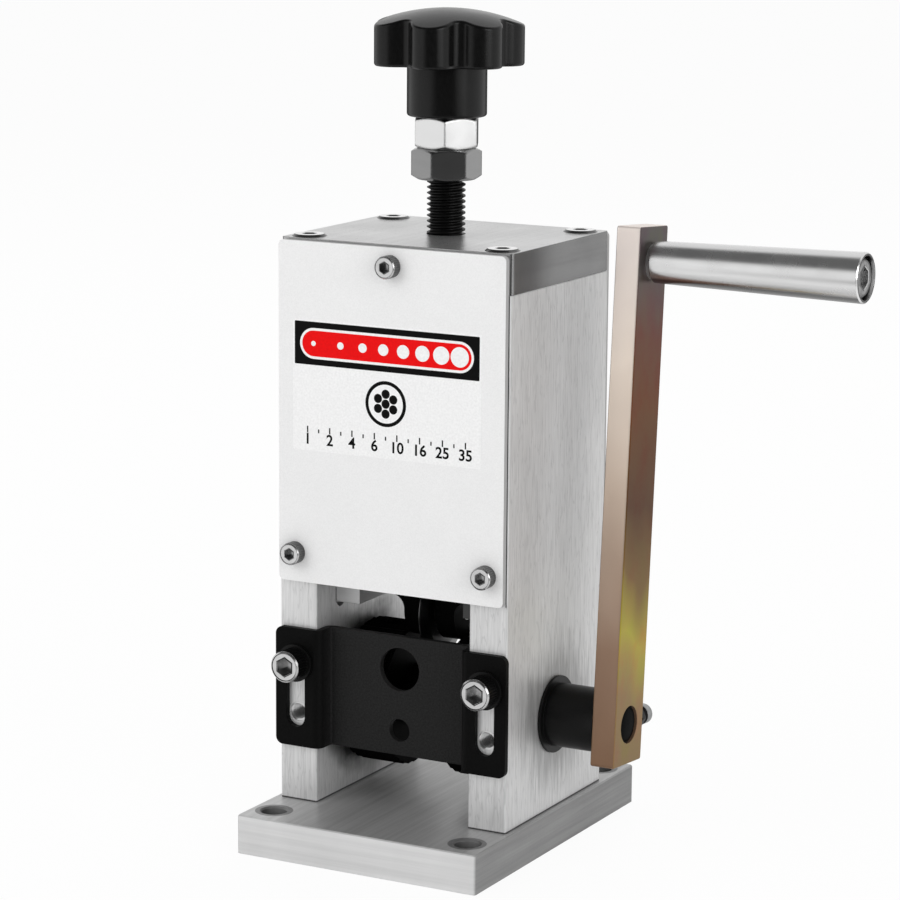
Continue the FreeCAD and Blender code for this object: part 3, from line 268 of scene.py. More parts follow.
@dataclass(frozen=True)
class Finish:
    """A surface finish that is made into one material.

    Attributes:
        name: Name of the material.
    """

    name: str

    def material(self) -> bpy.types.Material:
        """Makes the finish's material at its first use.

        Returns:
            The material.
        """
        found = bpy.data.materials.get(self.name)
        if found:
            return found
        material = bpy.data.materials.new(self.name)
        material.use_nodes = True
        graph = Graph(material.node_tree)
        shader = material.node_tree.nodes["Principled BSDF"]
        for entry, value in self.surface(graph).items():
            graph.feed(shader.inputs[entry], value)
        return material

    def surface(self, graph: Graph) -> dict[str, Value]:
        """Values of the shader's sockets, fixed or from nodes; each kind of finish has its own."""
        raise NotImplementedError

    def tint(self, graph: Graph, colour: Socket) -> Socket:
        """The colour as it is over the whole piece; a kind of finish may change it by place or face."""
        return colour


@dataclass(frozen=True)
class MilledPlate(Finish):
    """Aluminium plate, its faces along each axis cut in their own way, each face's tone partly painted light
    and shade for how it is lit.

    Attributes:
        tones: Lightness of the faces along X, Y and Z; partly the cut, partly painted light and shade for how
            each face is lit.
        grain: How the marks of the upright faces run.
        contrast: How far the marks stray from the tone.
        roughness: Roughness of the upright faces.
        level_roughness: Roughness of the level faces.
        metal: How metallic the surface looks.
        relief: Depth of the marks.
        lay: Strength of the cutter marks on the level faces in tone.
        hairlines: Strength of the thin wavy lines up the upright faces.
        speck: Strength of the fine speckle.
        cloud: Strength of the broad mottle.
    """

    tones: Triple = (0.6, 0.6, 0.6)
    grain: Grain = Grain.UPRIGHT
    contrast: float = 0.04
    roughness: float = 0.40
    level_roughness: float = 0.30
    metal: float = 0.7
    relief: float = 45 * MICRON
    lay: float = 0.03
    hairlines: float = 0.0
    speck: float = 1.0
    cloud: float = 0.05

    def surface(self, graph: Graph) -> dict[str, Value]:
        """Marks along the grain, hairlines, cutter marks on the level faces and a faint mottle.

        Args:
            graph: Nodes of the material.

        Returns:
            Values of the shader's sockets.
        """
        streak = graph.noise(self.grain.value, 4.0, 0.6)
        marks = graph.noise((700.0, 22.0, 22.0), 4.0, 0.6)
        fine = graph.noise(2300.0, 2.0)
        mottle = graph.noise((42.0, 42.0, 30.0))
        wave = graph.noise((520.0, 520.0, 60.0), 2.0, 0.6)
        level_face = graph.span(graph.facing(2), 0.4, 0.6)
        upright_face = graph.calc("SUBTRACT", 1.0, level_face)
        from_crest = graph.calc("ABSOLUTE", graph.calc("SUBTRACT", wave, 0.5))
        line = graph.product(graph.span(from_crest, 0.0, 0.035, 1.0, 0.0), upright_face)
        # Tone of each face: partly how it is cut, partly painted light and shade for how it is lit.
        tone = graph.total(*(graph.product(graph.facing(axis), tone) for axis, tone in enumerate(self.tones)))
        marked = graph.total(
            tone,
            graph.product(graph.spread(streak, -self.contrast, self.contrast), upright_face),
            graph.product(graph.spread(marks, -self.lay, self.lay), level_face),
            graph.product(line, -self.hairlines))
        cloudy = graph.span(mottle, 0.25, 0.75, 1.0 - self.cloud, 1.0 + self.cloud)
        level = graph.product(marked, cloudy, self.clean(graph))
        height = graph.total(
            graph.product(streak, upright_face),
            graph.product(line, -4.0 * self.hairlines),
            graph.product(marks, level_face),
            graph.product(fine, 0.06 * self.speck))
        roughness = graph.span(level_face, 0.0, 1.0, self.roughness, self.level_roughness)
        return {
            "Base Color": graph.add("ShaderNodeCombineColor", {0: level, 1: level, 2: level}).outputs[0],
            "Metallic": self.metal,
            "Roughness": graph.total(roughness, graph.spread(fine, -0.04 * self.speck, 0.05 * self.speck)),
            "Normal": graph.bump(height, self.relief, 0.5, 0.35 * MM),
        }

    def clean(self, graph: Graph) -> Value:
        """Factor on the tone at each place: painted light and shade, and a dark seam, where a kind of plate
        has them; 1 on a plain plate.
        """
        return 1.0


@dataclass(frozen=True)
class CoveredPlate(MilledPlate):
    """Plate of the body, with painted shade in the gap beside the covers that lie on it.

    Attributes:
        flank: Distance from the middle at which the gap starts.
        foot: Height of the covers' lower edges.
        gap: Lightness of the painted shade in the gap.
    """

    flank: float = 39.25 * MM
    foot: float = 84 * MM
    gap: float = 0.04

    def clean(self, graph: Graph) -> Value:
        """Painted shade in the narrow strips of the front and rear faces that the covers leave free.

        Args:
            graph: Nodes of the material.

        Returns:
            Factor on the tone.
        """
        x, _, z = graph.axes()
        outer = graph.span(graph.calc("ABSOLUTE", x), self.flank, self.flank + 0.1 * MM)
        high = graph.span(z, self.foot - 0.3 * MM, self.foot)
        # Painted shade in the strip where the covers leave a gap.
        strip = graph.product(outer, high, graph.span(graph.facing(1), 0.55, 0.7))
        return graph.shade(strip, self.gap)


@dataclass(frozen=True)
class RollerWall(CoveredPlate):
    """Side plate with painted shade on its inner wall round the feed roller and on its outer wall round the
    bush, and a dark seam at its foot.

    Attributes:
        axle: Place of the roller's axle along Y and Z.
        inside: Distance from the middle to the inner wall.
        oily: Distance from the axle over which the painted shade fades, with none at its end.
        film: Lightness of the painted shade round the roller.
        outside: Distance from the middle to just inside the outer wall.
        bush: Distance from the axle over which the painted shade round the bush on the outer wall ends.
        smear: Lightness of that painted shade.
        joint: Heights between which the dark seam at the plate's foot ends.
        seam: Lightness of the seam.
    """

    axle: Span = (0.001, 0.0428)
    inside: float = 28 * MM
    oily: Span = (22 * MM, 31 * MM)
    film: float = 0.12
    outside: float = 39.9 * MM
    bush: Span = (14 * MM, 27 * MM)
    smear: float = 0.62
    joint: Span = (12.85 * MM, 13.05 * MM)
    seam: float = 0.10

    def clean(self, graph: Graph) -> Value:
        """Painted shade near the roller on the inner wall and in streaks round the bush on the outer wall,
        and a dark seam.

        Args:
            graph: Nodes of the material.

        Returns:
            Factor on the tone.
        """
        x, y, z = graph.axes()
        offset = (graph.calc("SUBTRACT", part, middle) for part, middle in zip((y, z), self.axle))
        reach = graph.distance(*offset)
        side = graph.calc("ABSOLUTE", x)
        # Painted shade on the inner wall round the roller, its edge made uneven.
        border = graph.spread(graph.noise(120.0), -2 * MM, 2 * MM)
        film = graph.span(graph.total(reach, border), *self.oily, 1.0, 0.0)
        inner = graph.product(film, graph.calc("LESS_THAN", side, self.inside))
        # Painted shade in streaks round the bush on the outer wall.
        streak = graph.spread(graph.noise((700.0, 700.0, 50.0), 2.0), -6 * MM, 6 * MM)
        smear = graph.span(graph.total(reach, streak), *self.bush, 1.0, 0.0)
        outer = graph.product(smear, graph.calc("GREATER_THAN", side, self.outside))
        wall_shade = graph.product(graph.shade(inner, self.film), graph.shade(outer, self.smear))
        seam = graph.span(z, *self.joint, self.seam, 1.0)
        return graph.product(wall_shade, seam, super().clean(graph))


@dataclass(frozen=True)
class BoredPlate(MilledPlate):
    """Plate with painted shade inside its four bolt holes and on a ring round their mouths, and a painted
    highlight on top towards its left edge.

    Attributes:
        spacing: Half the holes' spacing along X and Y.
        hole: Radius over which the painted shade of a hole and its ring ends.
        dark: Lightness of the painted shade in the holes.
        left: Distance along X over which the painted highlight on the level face fades to the rest.
        sheen: Lightness of the painted highlight on the level face at its left edge against the rest.
    """

    spacing: Span = (34.25 * MM, 46.15 * MM)
    hole: Span = (5.9 * MM, 6.1 * MM)
    dark: float = 0.35
    left: Span = (-36 * MM, -16 * MM)
    sheen: float = 1.35

    def clean(self, graph: Graph) -> Value:
        """Painted shade in the holes and on the ring round each, and a painted highlight towards the left
        edge on top.

        Args:
            graph: Nodes of the material.

        Returns:
            Factor on the tone.
        """
        x, y, _ = graph.axes()
        across, along = (graph.calc("SUBTRACT", graph.calc("ABSOLUTE", part), half)
                         for part, half in zip((x, y), self.spacing))
        # Painted shade in the holes and on a ring round each mouth.
        holes = graph.span(graph.distance(across, along), *self.hole, self.dark, 1.0)
        # Painted highlight on the level face towards its left edge.
        left = graph.product(graph.span(x, *self.left, 1.0, 0.0), graph.facing(2))
        return graph.product(holes, graph.shade(left, self.sheen))


@dataclass(frozen=True)
class OilyBlock(MilledPlate):
    """Block with painted shade on one side along X.

    Attributes:
        oily: Distance along X over which the painted shade sets in.
        film: Lightness of the painted shade.
    """

    oily: Span = (6 * MM, 13 * MM)
    film: float = 0.10

    def clean(self, graph: Graph) -> Value:
        """Painted shade on the side further along X."""
        return graph.span(graph.axes()["X"], *self.oily, 1.0, self.film)


@dataclass(frozen=True)
class SprayedSheet(Finish):
    """Sheet with a fine speckled coat.

    Attributes:
        colour: Colour of the coat.
        speckle: How far the speckles stray from it.
        bare: Lightness of the sheet's bare cut edges against the coat.
    """

    colour: Triple = (0.83, 0.83, 0.83)
    speckle: float = 0.05
    bare: float = 0.5

    def surface(self, graph: Graph) -> dict[str, Value]:
        """Fine speckle over a soft cloudiness, with an orange-peel relief.

        Args:
            graph: Nodes of the material.

        Returns:
            Values of the shader's sockets.
        """
        speckle = graph.noise(2200.0, 2.0, 0.7)
        cloud = graph.noise(38.0, 2.0)
        level = graph.total(graph.spread(speckle, 0.0, 0.75), graph.spread(cloud, 0.0, 0.25))
        coat = graph.stray(level, self.colour, 1.0 - self.speckle, 1.0 + self.speckle)
        return {
            "Base Color": graph.scale(coat, graph.span(graph.facing(1), 0.25, 0.5, self.bare, 1.0)),
            "Metallic": 0.0,
            "Roughness": graph.spread(speckle, 0.44, 0.58),
            "Specular IOR Level": 0.4,
            "Normal": graph.bump(speckle, 30 * MICRON, 0.35),
        }


@dataclass(frozen=True)
class DarkCoat(Finish):
    """Black coat, blackened steel or moulded plastic.

    Attributes:
        colour: Colour of the surface.
        roughness: Its middle roughness.
        texture: Size of its fine relief per metre.
        relief: Depth of that relief.
        gloss: Strength of its plain reflection.
        edge: Radius to which its edges are rounded.
    """

    colour: Triple = (0.016, 0.016, 0.017)
    roughness: float = 0.36
    texture: float = 1800.0
    relief: float = 12 * MICRON
    gloss: float = 0.5
    edge: float = 0.2 * MM

    def surface(self, graph: Graph) -> dict[str, Value]:
        """Fine grain, handling smears in the gloss and a slightly uneven black.

        Args:
            graph: Nodes of the material.

        Returns:
            Values of the shader's sockets.
        """
        grain = graph.noise(self.texture, 2.0, 0.6)
        smear = graph.noise((70.0, 70.0, 45.0), 4.0, 0.6)
        return {
            "Base Color": self.tint(graph, graph.stray(graph.spread(grain), self.colour, 0.7, 1.35)),
            "Metallic": 0.0,
            "Roughness": graph.spread(smear, self.roughness - 0.05, self.roughness + 0.07),
            "Specular IOR Level": self.gloss,
            "Normal": graph.bump(grain, self.relief, 0.4, self.edge),
        }


@dataclass(frozen=True)
class RubbedCoat(DarkCoat):
    """Black coat painted greyer where it lies deeper along Y, a painted reflection.

    Attributes:
        depth: Distance along Y over which the painted reflection sets in.
        wear: How much lighter the painted reflection makes it.
    """

    depth: Span = (-34 * MM, -28 * MM)
    wear: float = 1.5

    def tint(self, graph: Graph, colour: Socket) -> Socket:
        """The colour, with painted reflection where the coat lies deeper."""
        return graph.scale(colour, graph.span(graph.axes()["Y"], *self.depth, 1.0, 1.0 + self.wear))


@dataclass(frozen=True)
class BareMetal(Finish):
    """Turned, ground or plated steel and bronze.

    Attributes:
        colour: Colour of the metal.
        roughness: Its middle roughness.
        lines: Scale of the tool marks per metre, or how they run.
        contrast: How far the marks stray from the colour.
        edge: Radius to which its edges are rounded.
    """

    colour: Triple = (0.66, 0.66, 0.66)
    roughness: float = 0.2
    lines: float | Triple = 300.0
    contrast: float = 0.08
    edge: float = 0.2 * MM

    def surface(self, graph: Graph) -> dict[str, Value]:
        """Tool marks in tone, roughness and relief, under a faint cloudiness.

        Args:
            graph: Nodes of the material.

        Returns:
            Values of the shader's sockets.
        """
        marks = graph.noise(self.lines, 3.0, 0.6)
        cloud = graph.noise(90.0)
        level = graph.total(graph.spread(marks, 0.0, 0.7), graph.spread(cloud, 0.0, 0.3))
        metal = graph.stray(level, self.colour, 1.0 - self.contrast, 1.0 + self.contrast)
        return {
            "Base Color": self.tint(graph, metal),
            "Metallic": 1.0,
            "Roughness": graph.spread(cloud, self.roughness - 0.04, self.roughness + 0.06),
            "Normal": graph.bump(marks, 8 * MICRON, 0.4, self.edge),
        }


@dataclass(frozen=True)
class TurnedBar(BareMetal):
    """Polished bar along X with painted shade on its end faces and underside.

    Attributes:
        ends: Lightness of the painted shade on its end faces against its side.
        under: Lightness of the painted shade on its underside against its side.
    """

    ends: float = 0.08
    under: float = 0.26

    def tint(self, graph: Graph, colour: Socket) -> Socket:
        """The colour, with painted shade on the end faces and underneath.

        Args:
            graph: Nodes of the material.
            colour: The even colour.

        Returns:
            The darkened colour.
        """
        rise = graph.axes(graph.add("ShaderNodeTexCoord").outputs["Normal"])["Z"]
        # Painted shade on the underside.
        side = graph.scale(colour, graph.span(rise, -0.74, -0.60, self.under, 1.0))
        # Painted shade on the end faces.
        return graph.scale(side, graph.span(graph.facing(0), 0.7, 0.9, 1.0, self.ends))


@dataclass(frozen=True)
class YellowZinc(Finish):
    """Yellow passivated zinc on a flat bar, with the bands of colour that such a bath leaves.

    Attributes:
        bar: Heights where the bands start and end.
    """

    bar: Span = (30 * MM, 198 * MM)

    def surface(self, graph: Graph) -> dict[str, Value]:
        """Colour bands up the bar, one set on its edges and one on its broad faces.

        Args:
            graph: Nodes of the material.

        Returns:
            Values of the shader's sockets.
        """
        height = self.height(graph)
        edge = graph.ramp(height, {
            0.00: (0.255, 0.150, 0.092), 0.22: (0.345, 0.225, 0.157), 0.50: (0.69, 0.555, 0.45),
            0.76: (1.0, 0.87, 0.755), 1.00: (0.98, 0.88, 0.82)})
        broad = graph.ramp(height, {
            0.00: (0.275, 0.180, 0.082), 0.15: (0.29, 0.195, 0.082), 0.25: (0.43, 0.345, 0.048),
            0.34: (0.19, 0.105, 0.030), 0.46: (0.090, 0.034, 0.008), 0.64: (0.135, 0.045, 0.009),
            0.80: (0.135, 0.050, 0.027), 0.95: (0.105, 0.094, 0.088)})
        on_edge = graph.span(graph.facing(0), 0.15, 0.5, 1.0, 0.0)
        stain = graph.noise((95.0, 95.0, 60.0), 4.0, 0.65)
        fine = graph.noise((1700.0, 1700.0, 240.0), 2.0)
        colour = graph.blend(on_edge, broad, edge)
        tint = graph.ramp(stain, {0.34: (0.93, 1.03, 0.72), 0.5: neutral(1.0), 0.66: (1.09, 0.88, 1.04)})
        tint = graph.blend(on_edge, tint, grey(1.0))
        tinted = graph.add("ShaderNodeVectorMath", {0: colour, 1: tint}, operation="MULTIPLY")
        return {
            "Base Color": tinted.outputs["Vector"],
            "Metallic": 0.62,
            "Roughness": graph.spread(stain, 0.30, 0.42),
            "Specular IOR Level": 0.1,
            "Normal": graph.bump(fine, 8 * MICRON, 0.4, 0.3 * MM),
        }

    def height(self, graph: Graph) -> Socket:
        """Height on the bar from 0 at its foot to 1 at its top, made uneven by the bath."""
        wave = graph.noise((36.0, 36.0, 14.0), 2.0)
        return graph.total(graph.span(graph.axes()["Z"], *self.bar), graph.spread(wave, -0.05, 0.05))


@dataclass(frozen=True)
class PrintedFilm(Finish):
    """One ink or the film of the chart.

    Attributes:
        colour: Colour of the ink or film.
    """

    colour: Triple = (0.9, 0.9, 0.9)

    def surface(self, graph: Graph) -> dict[str, Value]:
        """A faintly uneven print under a satin film.

        Args:
            graph: Nodes of the material.

        Returns:
            Values of the shader's sockets.
        """
        grain = graph.noise(1400.0, 2.0)
        return {
            "Base Color": graph.stray(graph.spread(grain), self.colour, 0.94, 1.04),
            "Roughness": graph.spread(grain, 0.45, 0.55),
            "Specular IOR Level": 0.1,
            "Normal": graph.bump(grain, 3 * MICRON, 0.3),
        }


# Face tones along X, Y and Z are partly painted light: each face is set as light or dark as it looks lit.
SIDE_PLATE = RollerWall("brushed_side_plate", tones=(0.735, 0.75, 0.62), contrast=0.07, roughness=0.42,
                        metal=0.5, relief=70 * MICRON, hairlines=0.11)
TOP_PLATE = CoveredPlate("machined_top_plate", tones=(0.24, 0.5, 0.60), grain=Grain.LEVEL, contrast=0.02,
                         roughness=0.26, level_roughness=0.28, metal=0.8, relief=4 * MICRON, lay=0.05,
                         speck=0.2, cloud=0.15)
BASE_PLATE = BoredPlate("machined_base_plate", tones=(0.29, 0.77, 0.42), grain=Grain.LEVEL, contrast=0.07,
                        roughness=0.40, level_roughness=0.36, metal=0.4, relief=40 * MICRON, lay=0.06)
# The carriage gets painted shade on its right side.
CARRIAGE_BLOCK = OilyBlock("machined_carriage", tones=(0.5, 0.66, 0.5), grain=Grain.LEVEL, contrast=0.03,
                           metal=0.5, relief=12 * MICRON)
COVER_COAT = SprayedSheet("speckled_cover_coat", neutral(0.86))
# The guide plate's panel gets a painted reflection: greyer than its flanges.
GUIDE_COAT = RubbedCoat("satin_guide_coat", neutral(0.003), roughness=0.42, gloss=0.06, wear=5.0)
KNOB_PLASTIC = DarkCoat("moulded_knob_plastic", neutral(0.004), roughness=0.22, texture=900.0,
                        relief=4 * MICRON, gloss=0.27)
BLACK_STEEL = DarkCoat("blackened_steel", neutral(0.004), roughness=0.34, texture=2400.0, gloss=0.2)
OILED_STEEL = DarkCoat("oiled_black_steel", neutral(0.003), roughness=0.45, gloss=0.02)
BRIGHT_PLATING = BareMetal("bright_plating", neutral(0.70), roughness=0.22)
HEAD_PLATING = BareMetal("polished_screw_head", neutral(0.92), roughness=0.12, contrast=0.02)
# Painted shade: the inside of the hexagon sockets is made darker than the head.
SOCKET_SHADE = BareMetal("painted_shade_socket", neutral(0.42), roughness=0.24, contrast=0.6)
DULL_PLATING = BareMetal("dull_plating", neutral(0.32), roughness=0.30, contrast=0.4)
KNURLED_PLATING = BareMetal("knurled_plating", neutral(0.17), roughness=0.30, contrast=0.2)
NUT_PLATING = BareMetal("nut_plating", neutral(0.86), roughness=0.14, lines=Grain.NUT.value, contrast=0.02,
                        edge=0.9 * MM)
DARK_NUT_PLATING = BareMetal("dark_nut_plating", neutral(0.31), roughness=0.16, lines=Grain.NUT.value,
                             contrast=0.05, edge=0.9 * MM)
PLATED_STEEL = BareMetal("plated_steel", neutral(0.55), roughness=0.28)
THREADED_HOLE = BareMetal("tapped_hole", neutral(0.74), roughness=0.3, edge=0.0)
HANDLE_STEEL = TurnedBar("turned_handle", neutral(0.90), roughness=0.24, lines=Grain.TURNED.value,
                         contrast=0.04)
# Painted shade: the blade is made dark because it sits in shade inside the carriage.
BLADE_STEEL = BareMetal("shaded_ground_blade", neutral(0.16), roughness=0.3)
BRONZE = BareMetal("bush_bronze", (0.50, 0.34, 0.16), roughness=0.36)
ARM_ZINC = YellowZinc("yellow_zinc_arm")
CHART_WHITE = PrintedFilm("chart_white", neutral(0.91))
CHART_BLACK = PrintedFilm("chart_black", neutral(0.002))
CHART_RED = PrintedFilm("chart_red", (0.84, 0.003, 0.004))


def dress(finish: Finish, *nodes: str) -> None:
    """Gives CAD nodes a finish.

    Args:
        finish: The finish.
        nodes: Names of the nodes.
    """
    for name in nodes:
        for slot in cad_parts[name].material_slots:
            slot.material = finish.material()
        LOG.info("%s is finished in %s", name, finish.name)


# ---------------------------------------------------------------- modelling
def deselect_all() -> None:
    """Deselects every object."""
    bpy.ops.object.select_all(action="DESELECT")


@contextmanager
def edit_mode(select: str = "FACE", everything: bool = False) -> Iterator[None]:
    """Edit mode of the active object, left again at the end.

    Args:
        select: VERT, EDGE or FACE.
        everything: Whether all of the mesh is selected first.

    Yields:
        Nothing; the operators in the block work on the mesh.
    """
    bpy.ops.object.mode_set(mode="EDIT")
    bpy.ops.mesh.select_mode(type=select)
    if everything:
        bpy.ops.mesh.select_all(action="SELECT")
    yield
    bpy.ops.object.mode_set(mode="OBJECT")


class Workpiece:
    """One mesh that starts as a primitive and is shaped step by step."""

    def __init__(self, name: str) -> None:
        """Takes over the object that was just added.

        Args:
            name: Name of the piece.
        """
        self.piece = bpy.context.object
        self.piece.name = name
        self.piece.data.name = name

    @classmethod
    def cylinder(cls, name: str, radius: float, low: float, high: float, sides: int = 48) -> "Workpiece":
        """Round bar along Z between two heights.

        Args:
            name: Name of the piece.
            radius: Its radius, from the middle to its corners.
            low: Height of its lower end.
            high: Height of its upper end.
            sides: Number of its sides.

        Returns:
            The bar.
        """
        deselect_all()
        bpy.ops.mesh.primitive_cylinder_add(vertices=sides, radius=radius, depth=high - low,
                                            location=(0.0, 0.0, (low + high) / 2))
        return cls(name).settle()

    @classmethod
    def block(cls, name: str, low: Vector, high: Vector) -> "Workpiece":
        """Box between two corners.

        Args:
            name: Name of the piece.
            low: Its lowest corner.
            high: Its highest corner.

        Returns:
            The box.
        """
        deselect_all()
        bpy.ops.mesh.primitive_cube_add(size=1.0, location=(low + high) / 2, scale=high - low)
        return cls(name).settle()

    @classmethod
    def profile(cls, name: str, points: list[Span]) -> "Workpiece":
        """Open chain of edges, drawn point by point.

        Args:
            name: Name of the piece.
            points: Radius and height of each point.

        Returns:
            The chain, in the plane of X and Z.
        """
        deselect_all()
        bpy.ops.mesh.primitive_plane_add(size=MM, location=(points[0][0], 0.0, points[0][1]))
        drawn = cls(name).settle()
        with edit_mode("VERT", everything=True):
            bpy.ops.mesh.merge(type="CENTER")
            for start, end in zip(points, points[1:]):
                step = (end[0] - start[0], 0.0, end[1] - start[1])
                bpy.ops.mesh.extrude_vertices_move(TRANSFORM_OT_translate={"value": step})
        return drawn

    def activate(self) -> None:
        """Makes this piece the only selected one."""
        deselect_all()
        self.piece.select_set(True)
        bpy.context.view_layer.objects.active = self.piece

    def settle(self) -> "Workpiece":
        """Puts the piece's place, turn and scale into its mesh.

        Returns:
            The piece itself.
        """
        self.activate()
        bpy.ops.object.transform_apply(location=True, rotation=True, scale=True)
        return self

    def modify(self, kind: str, **settings: object) -> None:
        """Adds a modifier, sets it up and applies it.

        Args:
            kind: Type name of the modifier.
            settings: Attributes of the modifier.
        """
        self.activate()
        bpy.ops.object.modifier_add(type=kind)
        modifier = self.piece.modifiers[-1]
        for name, value in settings.items():
            setattr(modifier, name, value)
        bpy.ops.object.modifier_apply(modifier=modifier.name)

    def select_faces(self, test: Test) -> None:
        """Selects faces.

        Args:
            test: Whether a face with this centre and normal is selected.
        """
        self.activate()
        with edit_mode():
            bpy.ops.mesh.select_all(action="DESELECT")
        for polygon in self.piece.data.polygons:
            polygon.select = test(polygon.center, polygon.normal)

    def inset(self, thickness: float, depth: float, each: bool = False) -> None:
        """Insets the selected faces and moves them along their normals.

        Args:
            thickness: Width of the inset.
            depth: How far the faces move outwards.
            each: Whether each face is inset by itself.
        """
        with edit_mode():
            bpy.ops.mesh.inset(thickness=thickness, depth=depth, use_individual=each)

    def bevel(self, test: Test, width: float, segments: int = 2) -> None:
        """Bevels edges.

        Args:
            test: Whether an edge with this middle and direction is bevelled.
            width: Width of the bevel.
            segments: Number of faces across it.
        """
        self.activate()
        with edit_mode("EDGE"):
            bpy.ops.mesh.select_all(action="DESELECT")
        mesh = self.piece.data
        for edge in mesh.edges:
            start, end = (mesh.vertices[index].co for index in edge.vertices)
            edge.select = test((start + end) / 2, (end - start).normalized())
        with edit_mode("EDGE"):
            bpy.ops.mesh.bevel(offset=width, segments=segments, affect="EDGES", clamp_overlap=True)

    def cut_away(self, cutter: "Workpiece") -> None:
        """Cuts another piece out of this one and scraps it."""
        self.modify("BOOLEAN", operation="DIFFERENCE", solver="EXACT", object=cutter.piece)
        cutter.scrap()

    def wind(self, pitch: float, turns: int, steps: int) -> "Workpiece":
        """Winds the profile about Z into a screw thread and joins its turns."""
        self.modify("SCREW", screw_offset=pitch, iterations=turns, steps=steps, render_steps=steps)
        return self.tidy()

    def spin(self, steps: int) -> "Workpiece":
        """Turns the profile about Z into a closed round piece.

        Args:
            steps: Number of its sides.

        Returns:
            The piece itself.
        """
        self.activate()
        with edit_mode("VERT", everything=True):
            bpy.ops.mesh.spin(steps=steps, angle=2 * math.pi, center=(0.0, 0.0, 0.0), axis=(0.0, 0.0, 1.0))
        return self.tidy()

    def trim(self, height: float, keep_above: bool) -> "Workpiece":
        """Cuts the piece level at a height and closes the cut.

        Args:
            height: Height of the cut.
            keep_above: Whether the part above the cut stays, or else the part below it.

        Returns:
            The piece itself.
        """
        self.activate()
        with edit_mode(everything=True):
            bpy.ops.mesh.bisect(plane_co=(0.0, 0.0, height), plane_no=(0.0, 0.0, 1.0), use_fill=True,
                                clear_inner=keep_above, clear_outer=not keep_above, threshold=0.1 * MICRON)
        return self

    def tidy(self) -> "Workpiece":
        """Merges doubles and turns the faces outwards.

        Returns:
            The piece itself.
        """
        self.activate()
        with edit_mode(everything=True):
            bpy.ops.mesh.remove_doubles(threshold=2 * MICRON)
            bpy.ops.mesh.normals_make_consistent(inside=False)
        return self

    def paint(self, finish: Finish, test: Test = lambda centre, normal: True) -> "Workpiece":
        """Gives faces a finish.

        Args:
            finish: The finish.
            test: Whether a face with this centre and normal gets it.

        Returns:
            The piece itself.
        """
        mesh = self.piece.data
        mesh.materials.append(finish.material())
        for polygon in mesh.polygons:
            if test(polygon.center, polygon.normal):
                polygon.material_index = len(mesh.materials) - 1
        return self

    def smooth(self, angle_degrees: float = 35.0) -> "Workpiece":
        """Shades the faces that meet at a small angle as one surface.

        Args:
            angle_degrees: Largest angle that is shaded over.

        Returns:
            The piece itself.
        """
        self.activate()
        bpy.ops.object.shade_smooth_by_angle(angle=math.radians(angle_degrees))
        return self

    def copy_to(self, name: str, place: Vector, direction: Vector) -> "Workpiece":
        """A copy with its own mesh.

        Args:
            name: Name of the copy.
            place: Where its origin goes.
            direction: Where its Z axis points.

        Returns:
            The copy.
        """
        twin = self.piece.copy()
        twin.data = self.piece.data.copy()
        bpy.context.collection.objects.link(twin)
        turn = direction.to_track_quat("Z", "Y").to_matrix().to_4x4()
        twin.matrix_world = Matrix.Translation(place) @ turn
        bpy.context.view_layer.objects.active = twin
        return Workpiece(name).settle()

    def join(self, others: list["Workpiece"]) -> "Workpiece":
        """Takes other pieces into this one.

        Args:
            others: The other pieces, or none.

        Returns:
            The piece itself.
        """
        if others:
            self.activate()
            for other in others:
                other.piece.select_set(True)
            bpy.ops.object.join()
        return self

    def scrap(self) -> None:
        """Removes the piece."""
        bpy.data.objects.remove(self.piece)

    def fit(self, body: str, slot: str, *nodes: str) -> None:
        """Puts the finished piece on a body in place of CAD nodes.

        Args:
            body: Body that it moves with.
            slot: Not used.
            nodes: CAD nodes that it stands for.
        """
        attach(self.piece, body)
        if nodes:
            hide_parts(*nodes)
        LOG.info("%s rides on %s with %d faces", self.piece.name, body, len(self.piece.data.polygons))


# ---------------------------------------------------------------- threads and screws
@dataclass
class Thread:
    """A metric thread.

    Attributes:
        diameter: Outside diameter.
        pitch: Rise per turn.
        steps: Sides of one turn.
        depth: Depth of the groove, in pitches.
        floor: Where the groove's floor ends, in pitches.
        crest: Where the crest starts and ends, in pitches.
    """

    diameter: float
    pitch: float
    steps: int = 40
    depth: float = 0.6134
    floor: float = 0.16
    crest: Span = (0.50, 0.70)

    def rod(self, name: str, low: float, high: float) -> Workpiece:
        """Threaded rod between two heights, cut level at both ends.

        Args:
            name: Name of the piece.
            low: Height of its lower end.
            high: Height of its upper end.

        Returns:
            The closed rod.
        """
        outside = self.diameter / 2
        root = outside - self.depth * self.pitch
        start = low - 1.5 * self.pitch
        turns = math.ceil((high - low) / self.pitch) + 3
        crest, fall = self.crest
        groove = ((root, 0.0), (root, self.floor), (outside, crest), (outside, fall), (root, 1.0))
        points = [(radius, start + rise * self.pitch) for radius, rise in groove]
        rod = Workpiece.profile(name, points).wind(self.pitch, turns, self.steps)
        return rod.trim(low, keep_above=True).trim(high, keep_above=False).tidy()


